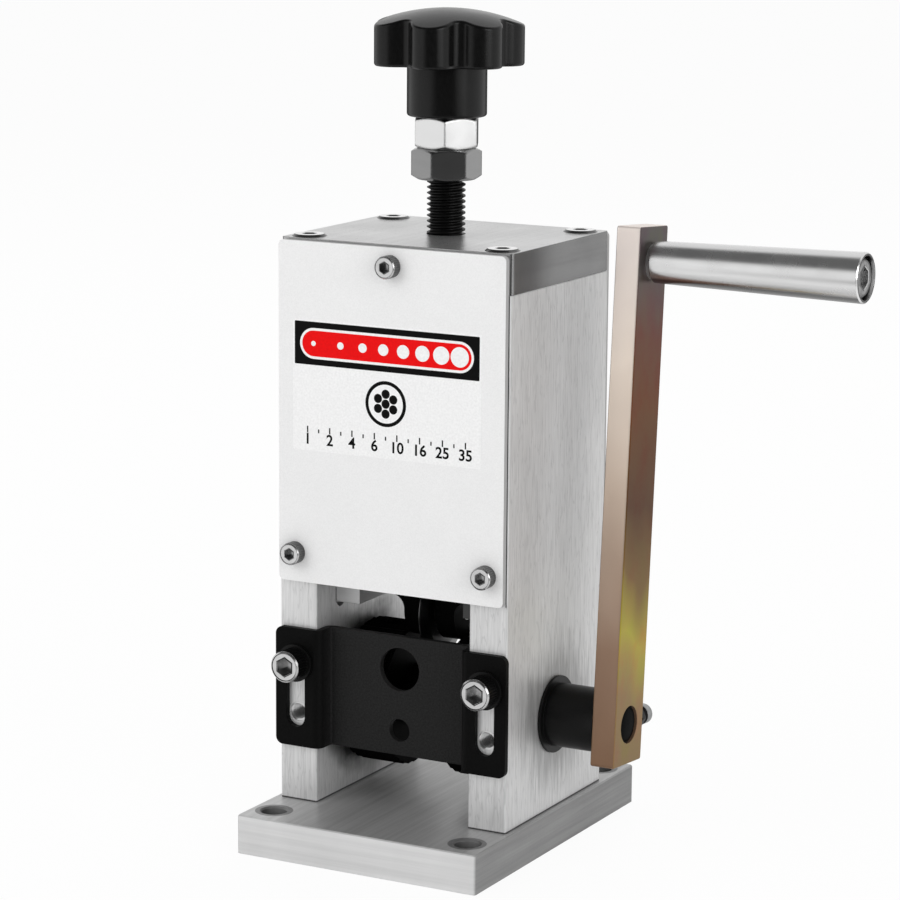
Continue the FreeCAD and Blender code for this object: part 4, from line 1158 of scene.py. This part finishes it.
@dataclass
class SocketHead:
    """A socket head screw's visible part, its head on Z = 0 and a stub of its shank below.

    Attributes:
        diameter: Head diameter.
        height: Head height.
        socket: Width of the hexagon across its flats.
        socket_depth: Depth of the hexagon.
        shank: Shank diameter.
        shank_length: Length of the shank.
        rim: Width of the chamfer round the head's face.
        ribs: Number of knurled ribs round the head, or 0 for a plain side.
        mouth: Chamfer of the hexagon's mouth, as a share of the head's radius.
        dish: Margin and depth of the dish in a ribbed head's face, as shares of its radius.
        groove: Margin and depth of the grooves between the ribs, as shares of its radius.
    """

    diameter: float
    height: float
    socket: float
    socket_depth: float
    shank: float
    shank_length: float
    rim: float = 0.35 * MM
    ribs: int = 30
    mouth: float = 0.03
    dish: Span = (0.05, 0.04)
    groove: Span = (0.02, 0.05)

    def model(self, name: str, face: Finish, side: Finish, socket: Finish) -> Workpiece:
        """The screw along Z.

        Args:
            name: Name of the piece.
            face: Finish of the head's face.
            side: Finish of the head's side and rim and of the shank.
            socket: Finish of the hexagon's inside.

        Returns:
            The screw.
        """
        radius = self.diameter / 2
        top = self.height
        level = top - MICRON
        head = Workpiece.cylinder(name, radius, 0.0, top, max(2 * self.ribs, 48))
        corner = self.socket / math.sqrt(3)
        floor = top - self.socket_depth
        head.cut_away(Workpiece.cylinder("socket_cutter", corner, floor, top + self.height, 6))
        head.bevel(lambda middle, run: middle.z > level and middle.xy.length < 1.02 * corner,
                   self.mouth * radius, 1)
        head.bevel(lambda middle, run: middle.z > level and middle.xy.length > 0.9 * radius, self.rim, 1)
        if self.ribs:
            self.knurl(head, radius)
            head.select_faces(lambda centre, normal: normal.z > 0.9 and centre.z > level)
            head.inset(self.dish[0] * radius, -self.dish[1] * radius)
        head.join([Workpiece.cylinder("shank", self.shank / 2, -self.shank_length, 0.0, 32)])
        head.paint(side)
        head.paint(socket, lambda centre, normal: centre.z > 0.0 and centre.xy.length < 0.92 * corner)
        head.paint(face, lambda centre, normal: normal.z > 0.9 and centre.z > top - 0.05 * radius)
        if self.ribs:
            head.paint(face, lambda centre, normal: (0.1 < normal.z < 0.9 and centre.z > top - self.rim
                                                     and centre.xy.length > radius - self.rim))
        return head.smooth(30.0)

    def knurl(self, head: Workpiece, radius: float) -> None:
        """Sinks every second side face between the head's foot and its rim.

        Args:
            head: The head.
            radius: Its radius.
        """
        faces = 2 * self.ribs

        def sunk(centre: Vector, normal: Vector) -> bool:
            """True on every second face round the side."""
            turn = math.atan2(centre.y, centre.x) % (2 * math.pi)
            return (abs(normal.z) < 0.1 and centre.xy.length > 0.9 * radius
                    and int(turn * faces / (2 * math.pi)) % 2 == 0)

        head.select_faces(sunk)
        head.inset(self.groove[0] * radius, -self.groove[1] * radius, each=True)


def place_copies(name: str, model: Workpiece, places: list[Vector], direction: Vector) -> Workpiece:
    """Copies of one model at several places, joined into one piece.  The model is scrapped.

    Args:
        name: Name of the joined piece.
        model: The model along Z, such as a screw with the underside of its head at Z = 0.
        places: Where its origin goes.
        direction: Where its Z axis points.

    Returns:
        The joined piece.
    """
    copies = [model.copy_to(name, place, direction) for place in places]
    model.scrap()
    return copies[0].join(copies[1:])


# ---------------------------------------------------------------- sub-assemblies
@dataclass
class Body:
    """Plates, covers and their screws.

    Attributes:
        small_head: Cover screws.
        flat_head: Screws of the top plate.
        thread: Thread of the spare guide holes.
        spare_drop: Height of a guide screw over the spare hole below it.
        spare_depth: Visible depth of the spare hole's thread.
        spare_sink: How far that thread starts below the plate's face.
        spare_wall: Thickness of metal outside the thread.
    """

    small_head: SocketHead = field(default_factory=lambda: SocketHead(
        diameter=7.0 * MM, height=4.0 * MM, socket=3.0 * MM, socket_depth=2.2 * MM,
        shank=4.0 * MM, shank_length=12.0 * MM))
    flat_head: SocketHead = field(default_factory=lambda: SocketHead(
        diameter=11.3 * MM, height=1.2 * MM, socket=4.0 * MM, socket_depth=1.0 * MM,
        shank=6.0 * MM, shank_length=26.0 * MM, rim=1.1 * MM, ribs=0))
    thread: Thread = field(default_factory=lambda: Thread(6.0 * MM, 1.0 * MM, 32))
    spare_drop: float = 16.3 * MM
    spare_depth: float = 9.0 * MM
    spare_sink: float = 0.3 * MM
    spare_wall: float = 0.08 * MM

    def build(self) -> None:
        """Dresses the plates and models the screws and threads."""
        dress(SIDE_PLATE, "left_side_plate", "right_side_plate")
        dress(TOP_PLATE, "top_plate")
        dress(BASE_PLATE, "base_plate")
        dress(COVER_COAT, "front_cover", "rear_cover")
        dress(BRIGHT_PLATING, "base_screws")
        dress(BRONZE, "left_bush", "right_bush")
        self.flat_screws()
        self.cover_screws("front_cover_screws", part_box("front_cover")[0].y, FRONT)
        self.cover_screws("rear_cover_screws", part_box("rear_cover")[1].y, REAR)
        self.spare_threads()

    def cover_screws(self, node: str, seat: float, direction: Vector) -> None:
        """Three knurled screws of one cover.

        Args:
            node: The screws' CAD node.
            seat: Place of the cover's outer face along Y.
            direction: Where the heads point.
        """
        low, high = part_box(node)
        radius = self.small_head.diameter / 2
        places = [Vector((0.0, seat, high.z - radius)), Vector((low.x + radius, seat, low.z + radius)),
                  Vector((high.x - radius, seat, low.z + radius))]
        model = self.small_head.model("cover_screw", BRIGHT_PLATING, KNURLED_PLATING, SOCKET_SHADE)
        screws = place_copies("knurled_" + node, model, places, direction)
        screws.fit("body", "bright_steel", node)

    def flat_screws(self) -> None:
        """Four flat head screws of the top plate, their heads standing a little proud."""
        low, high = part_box("top_plate_screws")
        radius = self.flat_head.diameter / 2
        places = [Vector((x, y, high.z - self.flat_head.height)) for x in (low.x + radius, high.x - radius)
                  for y in (low.y + radius, high.y - radius)]
        # The wide rim chamfer round each bright face takes the dark finish as painted shade.
        model = self.flat_head.model("flat_screw", HEAD_PLATING, KNURLED_PLATING, SOCKET_SHADE)
        screws = place_copies("flat_top_plate_screws", model, places, UP)
        screws.fit("body", "bright_steel", "top_plate_screws")

    def spare_threads(self) -> None:
        """Threads seen in the two spare holes of the guide plate's slots."""
        low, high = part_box("guide_screws")
        head = (high.z - low.z) / 2
        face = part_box("left_side_plate")[0].y
        name = "spare_hole_threads"
        radius = self.thread.diameter / 2 + self.spare_wall
        tube = Workpiece.cylinder(name, radius, -self.spare_depth, -self.spare_sink)
        tube.cut_away(self.thread.rod("tap", -self.spare_depth - self.thread.pitch, self.thread.pitch))
        tube.paint(THREADED_HOLE).smooth()
        places = [Vector((x, face, low.z + head - self.spare_drop)) for x in (low.x + head, high.x - head)]
        place_copies(name, tube, places, FRONT).fit("body", "aluminium_body")


@dataclass
class Guide:
    """Guide plate with its two screws.

    Attributes:
        head: The guide screws.
    """

    head: SocketHead = field(default_factory=lambda: SocketHead(
        diameter=10.0 * MM, height=6.0 * MM, socket=5.0 * MM, socket_depth=3.4 * MM,
        shank=6.0 * MM, shank_length=16.0 * MM, rim=0.5 * MM, ribs=36))

    def build(self) -> None:
        """Dresses the plate and washers and models the screws."""
        dress(GUIDE_COAT, "guide_plate")
        dress(BLACK_STEEL, "guide_washers")
        low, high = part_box("guide_screws")
        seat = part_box("guide_washers")[0].y
        radius = self.head.diameter / 2
        middle = (low.z + high.z) / 2
        places = [Vector((low.x + radius, seat, middle)), Vector((high.x - radius, seat, middle))]
        model = self.head.model("guide_screw", BRIGHT_PLATING, BLACK_STEEL, SOCKET_SHADE)
        screws = place_copies("knurled_guide_screws", model, places, FRONT)
        screws.fit("body", "black_steel", "guide_screws")


@dataclass
class Drive:
    """Feed roller, shaft, crank arm and handle.

    Attributes:
        handle_head: The handle's bolt.
    """

    handle_head: SocketHead = field(default_factory=lambda: SocketHead(
        diameter=11.8 * MM, height=7.0 * MM, socket=6.0 * MM, socket_depth=4.0 * MM,
        shank=8.0 * MM, shank_length=74.0 * MM, rim=0.7 * MM, ribs=36))

    def build(self) -> None:
        """Dresses the drive's nodes and models the handle's bolt."""
        dress(BLACK_STEEL, "drive_shaft", "shaft_circlip", "arm_clamp_nut")
        dress(OILED_STEEL, "left_feed_disc", "right_feed_disc", "feed_core")
        dress(ARM_ZINC, "crank_arm")
        dress(DULL_PLATING, "arm_clamp_bolt")
        dress(PLATED_STEEL, "feed_disc_grub_screws", "handle_washer")
        dress(HANDLE_STEEL, "handle_sleeve")
        self.shaft_end()
        self.handle_bolt()

    def shaft_end(self) -> None:
        """Rounded button on the shaft's end, inside the arm's bore."""
        low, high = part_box("drive_shaft")
        outline = ((0.0, -0.3), (5.5, -0.3), (5.5, 0.0), (5.2, 0.22),
                   (4.6, 0.42), (3.6, 0.6), (2.2, 0.72), (0.0, 0.78))
        points = [(radius * MM, height * MM) for radius, height in outline]
        button = Workpiece.profile("shaft_end_button", points)
        button.spin(48).paint(OILED_STEEL).smooth(40.0)
        centre = Vector((high.x, (low.y + high.y) / 2, (low.z + high.z) / 2))
        placed = place_copies("rounded_shaft_end", button, [centre], RIGHT)
        placed.fit("crank", "black_steel")

    def handle_bolt(self) -> None:
        """Bolt along the handle with its knurled head in the handle's end."""
        low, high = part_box("handle_bolt")
        seat = Vector((high.x - self.handle_head.height, (low.y + high.y) / 2, (low.z + high.z) / 2))
        self.handle_head.shank_length = seat.x - low.x
        bolt = self.handle_head.model("handle_bolt_model", DULL_PLATING, KNURLED_PLATING, BRIGHT_PLATING)
        placed = place_copies("knurled_handle_bolt", bolt, [seat], RIGHT)
        placed.fit("crank", "bright_steel", "handle_bolt")


@dataclass
class Carriage:
    """Sliding carriage with its fork and blade."""

    def build(self) -> None:
        """Dresses the carriage's nodes."""
        dress(CARRIAGE_BLOCK, "carriage")
        dress(OILED_STEEL, "blade_fork")
        dress(PLATED_STEEL, "keeper_plate", "blade_washers", "blade_pin")
        dress(BRIGHT_PLATING, "keeper_screws", "fork_bolts")
        dress(BLADE_STEEL, "round_blade")


@dataclass
class Adjuster:
    """Adjusting screw with its nuts and knob.

    Attributes:
        thread: Thread of the screw.
        neck: Diameter of the neck that the keeper plate holds.
        neck_length: Length of the neck.
        foot_length: Height of the foot below it.
        overlap: How far the neck reaches into the thread.
    """

    thread: Thread = field(default_factory=lambda: Thread(12.0 * MM, 1.75 * MM))
    neck: float = 8.0 * MM
    neck_length: float = 3.6 * MM
    foot_length: float = 4.0 * MM
    overlap: float = 0.5 * MM

    def build(self) -> None:
        """Dresses the knob and nuts and models the screw with its thread."""
        dress(KNOB_PLASTIC, "star_knob")
        dress(NUT_PLATING, "upper_nut")
        dress(DARK_NUT_PLATING, "lower_nut")
        low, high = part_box("adjusting_screw")
        centre = (low + high) / 2
        foot_top = low.z + self.foot_length
        thread_foot = foot_top + self.neck_length
        neck_top = thread_foot + self.overlap
        screw = self.thread.rod("threaded_adjusting_screw", thread_foot, high.z)
        radius = self.thread.diameter / 2
        neck = self.neck / 2
        foot = Workpiece.profile("foot", [(0.0, low.z), (radius, low.z), (radius, foot_top), (neck, foot_top),
                                          (neck, neck_top), (0.0, neck_top)]).spin(48)
        screw.join([foot])
        screw.paint(BLACK_STEEL).smooth(28.0)
        screw.piece.location = (centre.x, centre.y, 0.0)
        screw.settle().fit("screw", "black_steel", "adjusting_screw")


@dataclass
class WireChart:
    """Printed chart of wire sizes on the front cover: dots, a strand pattern and a scale.

    Attributes:
        left: Left edge.
        right: Right edge.
        bottom: Lower edge.
        top: Upper edge.
        film: Thickness of the film.
        ink: Thickness of one layer of ink.
        corners: Radius of the corners of the film, the band and a tick.
        margin: White margin around the black band.
        band_height: Height of the black band.
        bar_height: Height of the white-edged bar in the band.
        bar_edge: Width of the bar's white edge.
        dots: Number of dots in the bar.
        ring_radius: Outside radius of the ring in the middle.
        ring_height: Height of the ring's centre over the lower edge.
        dot_radii: Radius of the first and the last dot.
        crowding: Exponent that draws the large dots together.
        ring_width: Width of the ring.
        strand: Radius of one strand in the ring.
        strand_pitch: Distance between neighbouring strands' middles, in radii.
        scale_height: Height of the scale's numbers over the lower edge.
        scale_share: Share of the chart's width that the scale takes to each side.
        tick: Width of a tick.
        ticks: Lengths of a long and a short tick.
        tick_height: Height of the ticks' feet over the numbers' middle.
        numbers: Numbers under the scale.
        number_size: Size of the type.
        number_weight: How far the type is thickened.
        face: Place of the cover's face along Y, read from the frame.
    """

    left: float = -34.2 * MM
    right: float = 31.5 * MM
    bottom: float = 126.0 * MM
    top: float = 167.0 * MM
    film: float = 0.10 * MM
    ink: float = 0.03 * MM
    corners: Triple = (0.6 * MM, 0.3 * MM, 0.05 * MM)
    margin: float = 0.7 * MM
    band_height: float = 13.4 * MM
    bar_height: float = 9.6 * MM
    bar_edge: float = 0.8 * MM
    dots: int = 8
    ring_radius: float = 7.1 * MM
    ring_height: float = 17.0 * MM
    dot_radii: Span = (0.8 * MM, 3.1 * MM)
    crowding: float = 0.86
    ring_width: float = 1.1 * MM
    strand: float = 1.42 * MM
    strand_pitch: float = 2.16
    scale_height: float = 3.6 * MM
    scale_share: float = 0.42
    tick: float = 0.44 * MM
    ticks: Span = (2.0 * MM, 1.2 * MM)
    tick_height: float = 2.1 * MM
    numbers: tuple[int, ...] = (1, 2, 4, 6, 10, 16, 25, 35)
    number_size: float = 4.8 * MM
    number_weight: float = 0.10 * MM
    face: float = field(init=False)

    def build(self) -> None:
        """Models the film and each layer of ink and joins them on the cover."""
        self.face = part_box("front_cover")[0].y
        film = self.sheet("wire_size_chart", self.left, self.right, self.bottom, self.top, 0.0, self.film,
                          self.corners[0], CHART_WHITE)
        pieces = [*self.band(), *self.ring(), *self.scale()]
        film.join(pieces).smooth(20.0).fit("body", "cover_white")

    def sheet(self, name: str, left: float, right: float, bottom: float, top: float,
              start: float, depth: float, corner: float, finish: Finish) -> Workpiece:
        """A thin sheet with rounded corners in front of the cover.

        Args:
            name: Name of the sheet.
            left: Left edge.
            right: Right edge.
            bottom: Lower edge.
            top: Upper edge.
            start: Distance of its back from the cover.
            depth: Its thickness.
            corner: Radius of its corners.
            finish: Its finish.

        Returns:
            The sheet.
        """
        low = Vector((left, self.face - start - depth, bottom))
        high = Vector((right, self.face - start, top))
        sheet = Workpiece.block(name, low, high)
        sheet.bevel(lambda middle, run: abs(run.y) > 0.9, corner, 8)
        return sheet.paint(finish)

    def disc(self, x: float, z: float, radius: float, start: float, finish: Finish) -> Workpiece:
        """A round dot of ink with a softened edge.

        Args:
            x: Place of its middle along X.
            z: Height of its middle.
            radius: Its radius.
            start: Distance of its back from the cover.
            finish: Its finish.

        Returns:
            The dot.
        """
        disc = Workpiece.cylinder("dot", radius, start, start + self.ink, 40)
        disc.bevel(lambda middle, run: middle.z > start + self.ink / 2 and abs(run.z) < 0.5, self.ink / 3, 1)
        return place_copies("dot", disc.paint(finish), [Vector((x, self.face, z))], FRONT)

    def band(self) -> list[Workpiece]:
        """Black band with a white-edged red bar and a row of growing dots.

        Returns:
            The band's layers.
        """
        high = self.top - self.margin
        low = high - self.band_height
        left = self.left + self.margin
        right = self.right - self.margin
        middle = (low + high) / 2
        half = self.bar_height / 2
        inset = (self.band_height - self.bar_height) / 2
        bar_left = left + inset
        bar_right = right - inset
        inner = half - self.bar_edge
        pieces = [
            self.sheet("band", left, right, low, high, self.film, self.ink, self.corners[1], CHART_BLACK),
            self.sheet("bar_edge", bar_left, bar_right, middle - half, middle + half, self.film + self.ink,
                       self.ink, half - MICRON, CHART_WHITE),
            self.sheet("bar", bar_left + self.bar_edge, bar_right - self.bar_edge, middle - inner,
                       middle + inner, self.film + 2 * self.ink, self.ink, inner - MICRON, CHART_RED),
        ]
        reach = (bar_right - bar_left) / 2 - half
        centre = (bar_left + bar_right) / 2
        for index in range(self.dots):
            share = index / (self.dots - 1)
            radius = self.dot_radii[0] + (self.dot_radii[1] - self.dot_radii[0]) * share
            x = centre - reach + 2 * reach * share ** self.crowding
            pieces.append(self.disc(x, middle, radius, self.film + 3 * self.ink, CHART_WHITE))
        return pieces

    def ring(self) -> list[Workpiece]:
        """Black ring round the cut end of a wire of seven strands.

        Returns:
            The ring's layers and the strands.
        """
        x = (self.left + self.right) / 2
        z = self.bottom + self.ring_height
        front = self.film + 2 * self.ink
        pieces = [
            self.disc(x, z, self.ring_radius, self.film, CHART_BLACK),
            self.disc(x, z, self.ring_radius - self.ring_width, self.film + self.ink, CHART_WHITE),
            self.disc(x, z, self.strand, front, CHART_BLACK),
        ]
        reach = self.strand_pitch * self.strand
        for index in range(6):
            turn = index * math.pi / 3 + math.pi / 6
            across = x + reach * math.cos(turn)
            pieces.append(self.disc(across, z + reach * math.sin(turn), self.strand, front, CHART_BLACK))
        return pieces

    def scale(self) -> list[Workpiece]:
        """Row of ticks with a plain number under each long one.

        Returns:
            The ticks and numbers.
        """
        pieces = []
        reach = self.scale_share * (self.right - self.left)
        centre = (self.left + self.right) / 2
        steps = len(self.numbers) - 1
        foot = self.bottom + self.scale_height + self.tick_height
        for index in range(2 * steps + 1):
            x = centre - reach + index * reach / steps
            top = foot + self.ticks[index % 2]
            pieces.append(self.sheet("tick", x - self.tick / 2, x + self.tick / 2, foot, top,
                                     self.film, self.ink, self.corners[2], CHART_BLACK))
        for index, number in enumerate(self.numbers):
            x = centre - reach + 2 * index * reach / steps
            pieces.append(self.number(number, x, self.bottom + self.scale_height))
        return pieces

    def number(self, number: int, x: float, z: float) -> Workpiece:
        """A plain printed number.

        Args:
            number: The number.
            x: Place of its middle along X.
            z: Height of its middle.

        Returns:
            The number as a mesh.
        """
        deselect_all()
        bpy.ops.object.text_add()
        text = bpy.context.object
        text.data.body = str(number)
        text.data.align_x = "CENTER"
        text.data.align_y = "CENTER"
        text.data.size = self.number_size
        text.data.offset = self.number_weight
        text.data.extrude = self.ink / 2
        bpy.ops.object.convert(target="MESH")
        piece = Workpiece("number")
        piece.piece.rotation_euler = (math.pi / 2, 0.0, 0.0)
        piece.piece.location = (x, self.face - self.film - self.ink / 2, z)
        return piece.settle().tidy().paint(CHART_BLACK)


# ---------------------------------------------------------------- studio
@dataclass
class Lamp:
    """A soft rectangular lamp.

    Attributes:
        name: Name of the lamp.
        place: Where it stands.
        target: Where it points.
        size: Width and height.
        power: Power in watts.
        mirrored: Whether glossy surfaces show it.
    """

    name: str
    place: Triple
    target: Triple
    size: Span
    power: float
    mirrored: bool = True

    def add(self) -> None:
        """Adds the lamp to the scene."""
        data = bpy.data.lights.new(self.name, "AREA")
        data.shape = "RECTANGLE"
        data.size, data.size_y = self.size
        data.energy = self.power
        lamp = bpy.data.objects.new(self.name, data)
        lamp.location = self.place
        lamp.visible_glossy = self.mirrored
        lamp.rotation_euler = (Vector(self.target) - Vector(self.place)).to_track_quat("-Z", "Y").to_euler()
        bpy.context.collection.objects.link(lamp)


@dataclass
class Studio:
    """Pale floor, even world, soft lamps and the camera.

    Attributes:
        yaw: Turn of the camera about Z, in degrees.
        pitch: Its fall below the horizon, in degrees.
        roll: Its turn about its own axis, in degrees.
        place: Where it stands.
        lens: Focal length in millimetres on a 36 mm sensor.
        floor_size: Side of the square floor.
        floor_tones: Lightness of the floor at its darkest and lightest.
        painted: Share of the floor's painted white that the camera and reflections see over its shadow.
        world_light: Strength of the even light.
        white: Brightness of the floor and backdrop in reflections.
        dark: Brightness of the studio's side behind the camera in reflections.
        ceiling: Brightness of the ceiling over the object and in front of it in reflections.
        high: Brightness of the rest of the ceiling in reflections.
        near: Brightness of the floor close to the object against the floor further away in reflections.
        camera_side: Cosines to the camera's direction between which that dark side sets in.
        far_side: The same for the dark on the floor straight behind the object.
        far: Distances between which both set in.
        close: Distances between which the floor close to the object ends.
        overhead: Rise of the directions between which the dark ceiling sets in.
        in_front: Depth of the directions between which it ends towards the rear.
        rise: Rise of the directions between which the rest of the ceiling sets in.
        lamps: The soft lamps.
    """

    yaw: float = 28.227
    pitch: float = 11.015
    roll: float = 0.441
    place: Triple = (0.482193, -0.893546, 0.320826)
    lens: float = 131.7
    floor_size: float = 24.0
    floor_tones: Span = (0.89, 0.91)
    painted: float = 0.94
    world_light: float = 0.60
    white: float = 0.88
    dark: float = 0.08
    ceiling: float = 0.12
    high: float = 0.84
    near: float = 0.72
    camera_side: Span = (0.62, 0.86)
    far_side: Span = (-0.85, -0.70)
    far: Span = (0.25, 0.6)
    close: Span = (0.10, 0.30)
    overhead: Span = (0.38, 0.62)
    in_front: Span = (0.12, 0.42)
    rise: Span = (0.24, 0.50)
    lamps: tuple[Lamp, ...] = (
        Lamp("key_lamp", (-0.80, -1.25, 0.90), (0.0, 0.0, 0.12), (1.4, 1.3), 8.5, mirrored=False),
        Lamp("right_lamp", (1.45, -0.55, 0.60), (0.0, 0.0, 0.10), (0.9, 0.9), 6.0),
        Lamp("top_lamp", (-0.35, 1.05, 1.30), (0.0, 0.0, 0.2), (1.5, 0.95), 6.5, mirrored=False),
    )

    def build(self) -> None:
        """Sets up the floor, world, lamps and camera."""
        self.floor()
        self.world()
        for lamp in self.lamps:
            lamp.add()
        self.camera()
        bpy.context.scene.view_settings.view_transform = "Standard"

    def floor(self) -> None:
        """Pale floor that shows white to the camera and keeps a soft shadow."""
        deselect_all()
        bpy.ops.mesh.primitive_plane_add(size=self.floor_size, location=(0.0, 0.0, 0.0))
        floor = bpy.context.object
        floor.name = "floor"
        material = bpy.data.materials.new("pale_floor")
        material.use_nodes = True
        graph = Graph(material.node_tree)
        graph.tree.nodes.clear()
        tone = graph.blend(graph.noise(3.0, 2.0), *(grey(level) for level in self.floor_tones))
        matt = graph.add("ShaderNodeBsdfDiffuse", {"Color": tone})
        path = graph.add("ShaderNodeLightPath").outputs
        level = self.away_from_camera(graph, graph.place(), behind=True)
        strength = graph.calc("MAXIMUM", path["Is Camera Ray"], graph.product(path["Is Glossy Ray"], level))
        white = graph.add("ShaderNodeEmission", {"Color": grey(1.0), "Strength": strength})
        seen = graph.calc("MAXIMUM", path["Is Camera Ray"], path["Is Glossy Ray"])
        share = graph.product(seen, self.painted)
        mixed = graph.add("ShaderNodeMixShader", {0: share, 1: matt.outputs[0], 2: white.outputs[0]})
        graph.add("ShaderNodeOutputMaterial", {"Surface": mixed.outputs[0]})
        floor.data.materials.append(material)

    def away_from_camera(self, graph: Graph, place: Socket, behind: bool = False) -> Socket:
        """Brightness that reflections show: white, and dark on the camera's side of the studio.

        Args:
            graph: Nodes of the floor or the world.
            place: Place on the floor or direction of the world.
            behind: Whether it is dark straight behind the object and close to it as well.

        Returns:
            The brightness.
        """
        x, y, _ = graph.axes(place)
        yaw = math.radians(self.yaw)
        ahead = graph.total(graph.product(x, math.sin(yaw)), graph.product(y, -math.cos(yaw)))
        reach = graph.distance(x, y)
        turn = graph.calc("DIVIDE", ahead, reach)
        sector = graph.span(turn, *self.camera_side)
        if behind:
            sector = graph.calc("MAXIMUM", sector, graph.span(turn, *self.far_side, 1.0, 0.0))
        sector = graph.product(sector, graph.span(reach, *self.far))
        level = graph.span(sector, 0.0, 1.0, self.white, self.dark)
        return graph.product(level, graph.span(reach, *self.close, self.near, 1.0)) if behind else level

    def world(self) -> None:
        """Even light that is white to the camera and darker behind it for reflections."""
        world = bpy.data.worlds.new("studio")
        world.use_nodes = True
        bpy.context.scene.world = world
        graph = Graph(world.node_tree)
        graph.tree.nodes.clear()
        path = graph.add("ShaderNodeLightPath").outputs
        way = graph.add("ShaderNodeTexCoord").outputs["Generated"]
        _, y, z = graph.axes(way)
        overhead = graph.product(graph.span(z, *self.overhead), graph.span(y, *self.in_front, 1.0, 0.0))
        rest = graph.span(z, *self.rise, 1.0, self.high)
        ceiling = graph.calc("MINIMUM", graph.shade(overhead, self.ceiling), rest)
        glossy = graph.product(path["Is Glossy Ray"], self.away_from_camera(graph, way), ceiling)
        even = graph.product(graph.calc("SUBTRACT", 1.0, path["Is Glossy Ray"]), self.world_light)
        strength = graph.calc("MAXIMUM", path["Is Camera Ray"], graph.total(glossy, even))
        sky = graph.add("ShaderNodeBackground", {"Color": grey(1.0), "Strength": strength})
        graph.add("ShaderNodeOutputWorld", {"Surface": sky.outputs[0]})

    def camera(self) -> None:
        """Camera in front, to the right and a little above the top plate."""
        data = bpy.data.cameras.new("camera")
        data.lens = self.lens
        data.sensor_width = 36.0
        data.clip_start = 0.01
        data.clip_end = 100.0
        camera = bpy.data.objects.new("camera", data)
        turn = (Matrix.Rotation(math.radians(self.yaw), 4, "Z")
                @ Matrix.Rotation(math.radians(90.0 - self.pitch), 4, "X")
                @ Matrix.Rotation(math.radians(self.roll), 4, "Z"))
        camera.matrix_world = Matrix.Translation(Vector(self.place)) @ turn
        bpy.context.collection.objects.link(camera)
        bpy.context.scene.camera = camera


def main() -> None:
    """Builds the sub-assemblies in order and sets up the studio."""
    logging.basicConfig(level=logging.INFO, format="%(message)s")
    for assembly in (Body(), Guide(), Drive(), Carriage(), Adjuster(), WireChart(), Studio()):
        LOG.info("building %s", type(assembly).__name__)
        assembly.build()


if __name__ == "__main__":
    main()
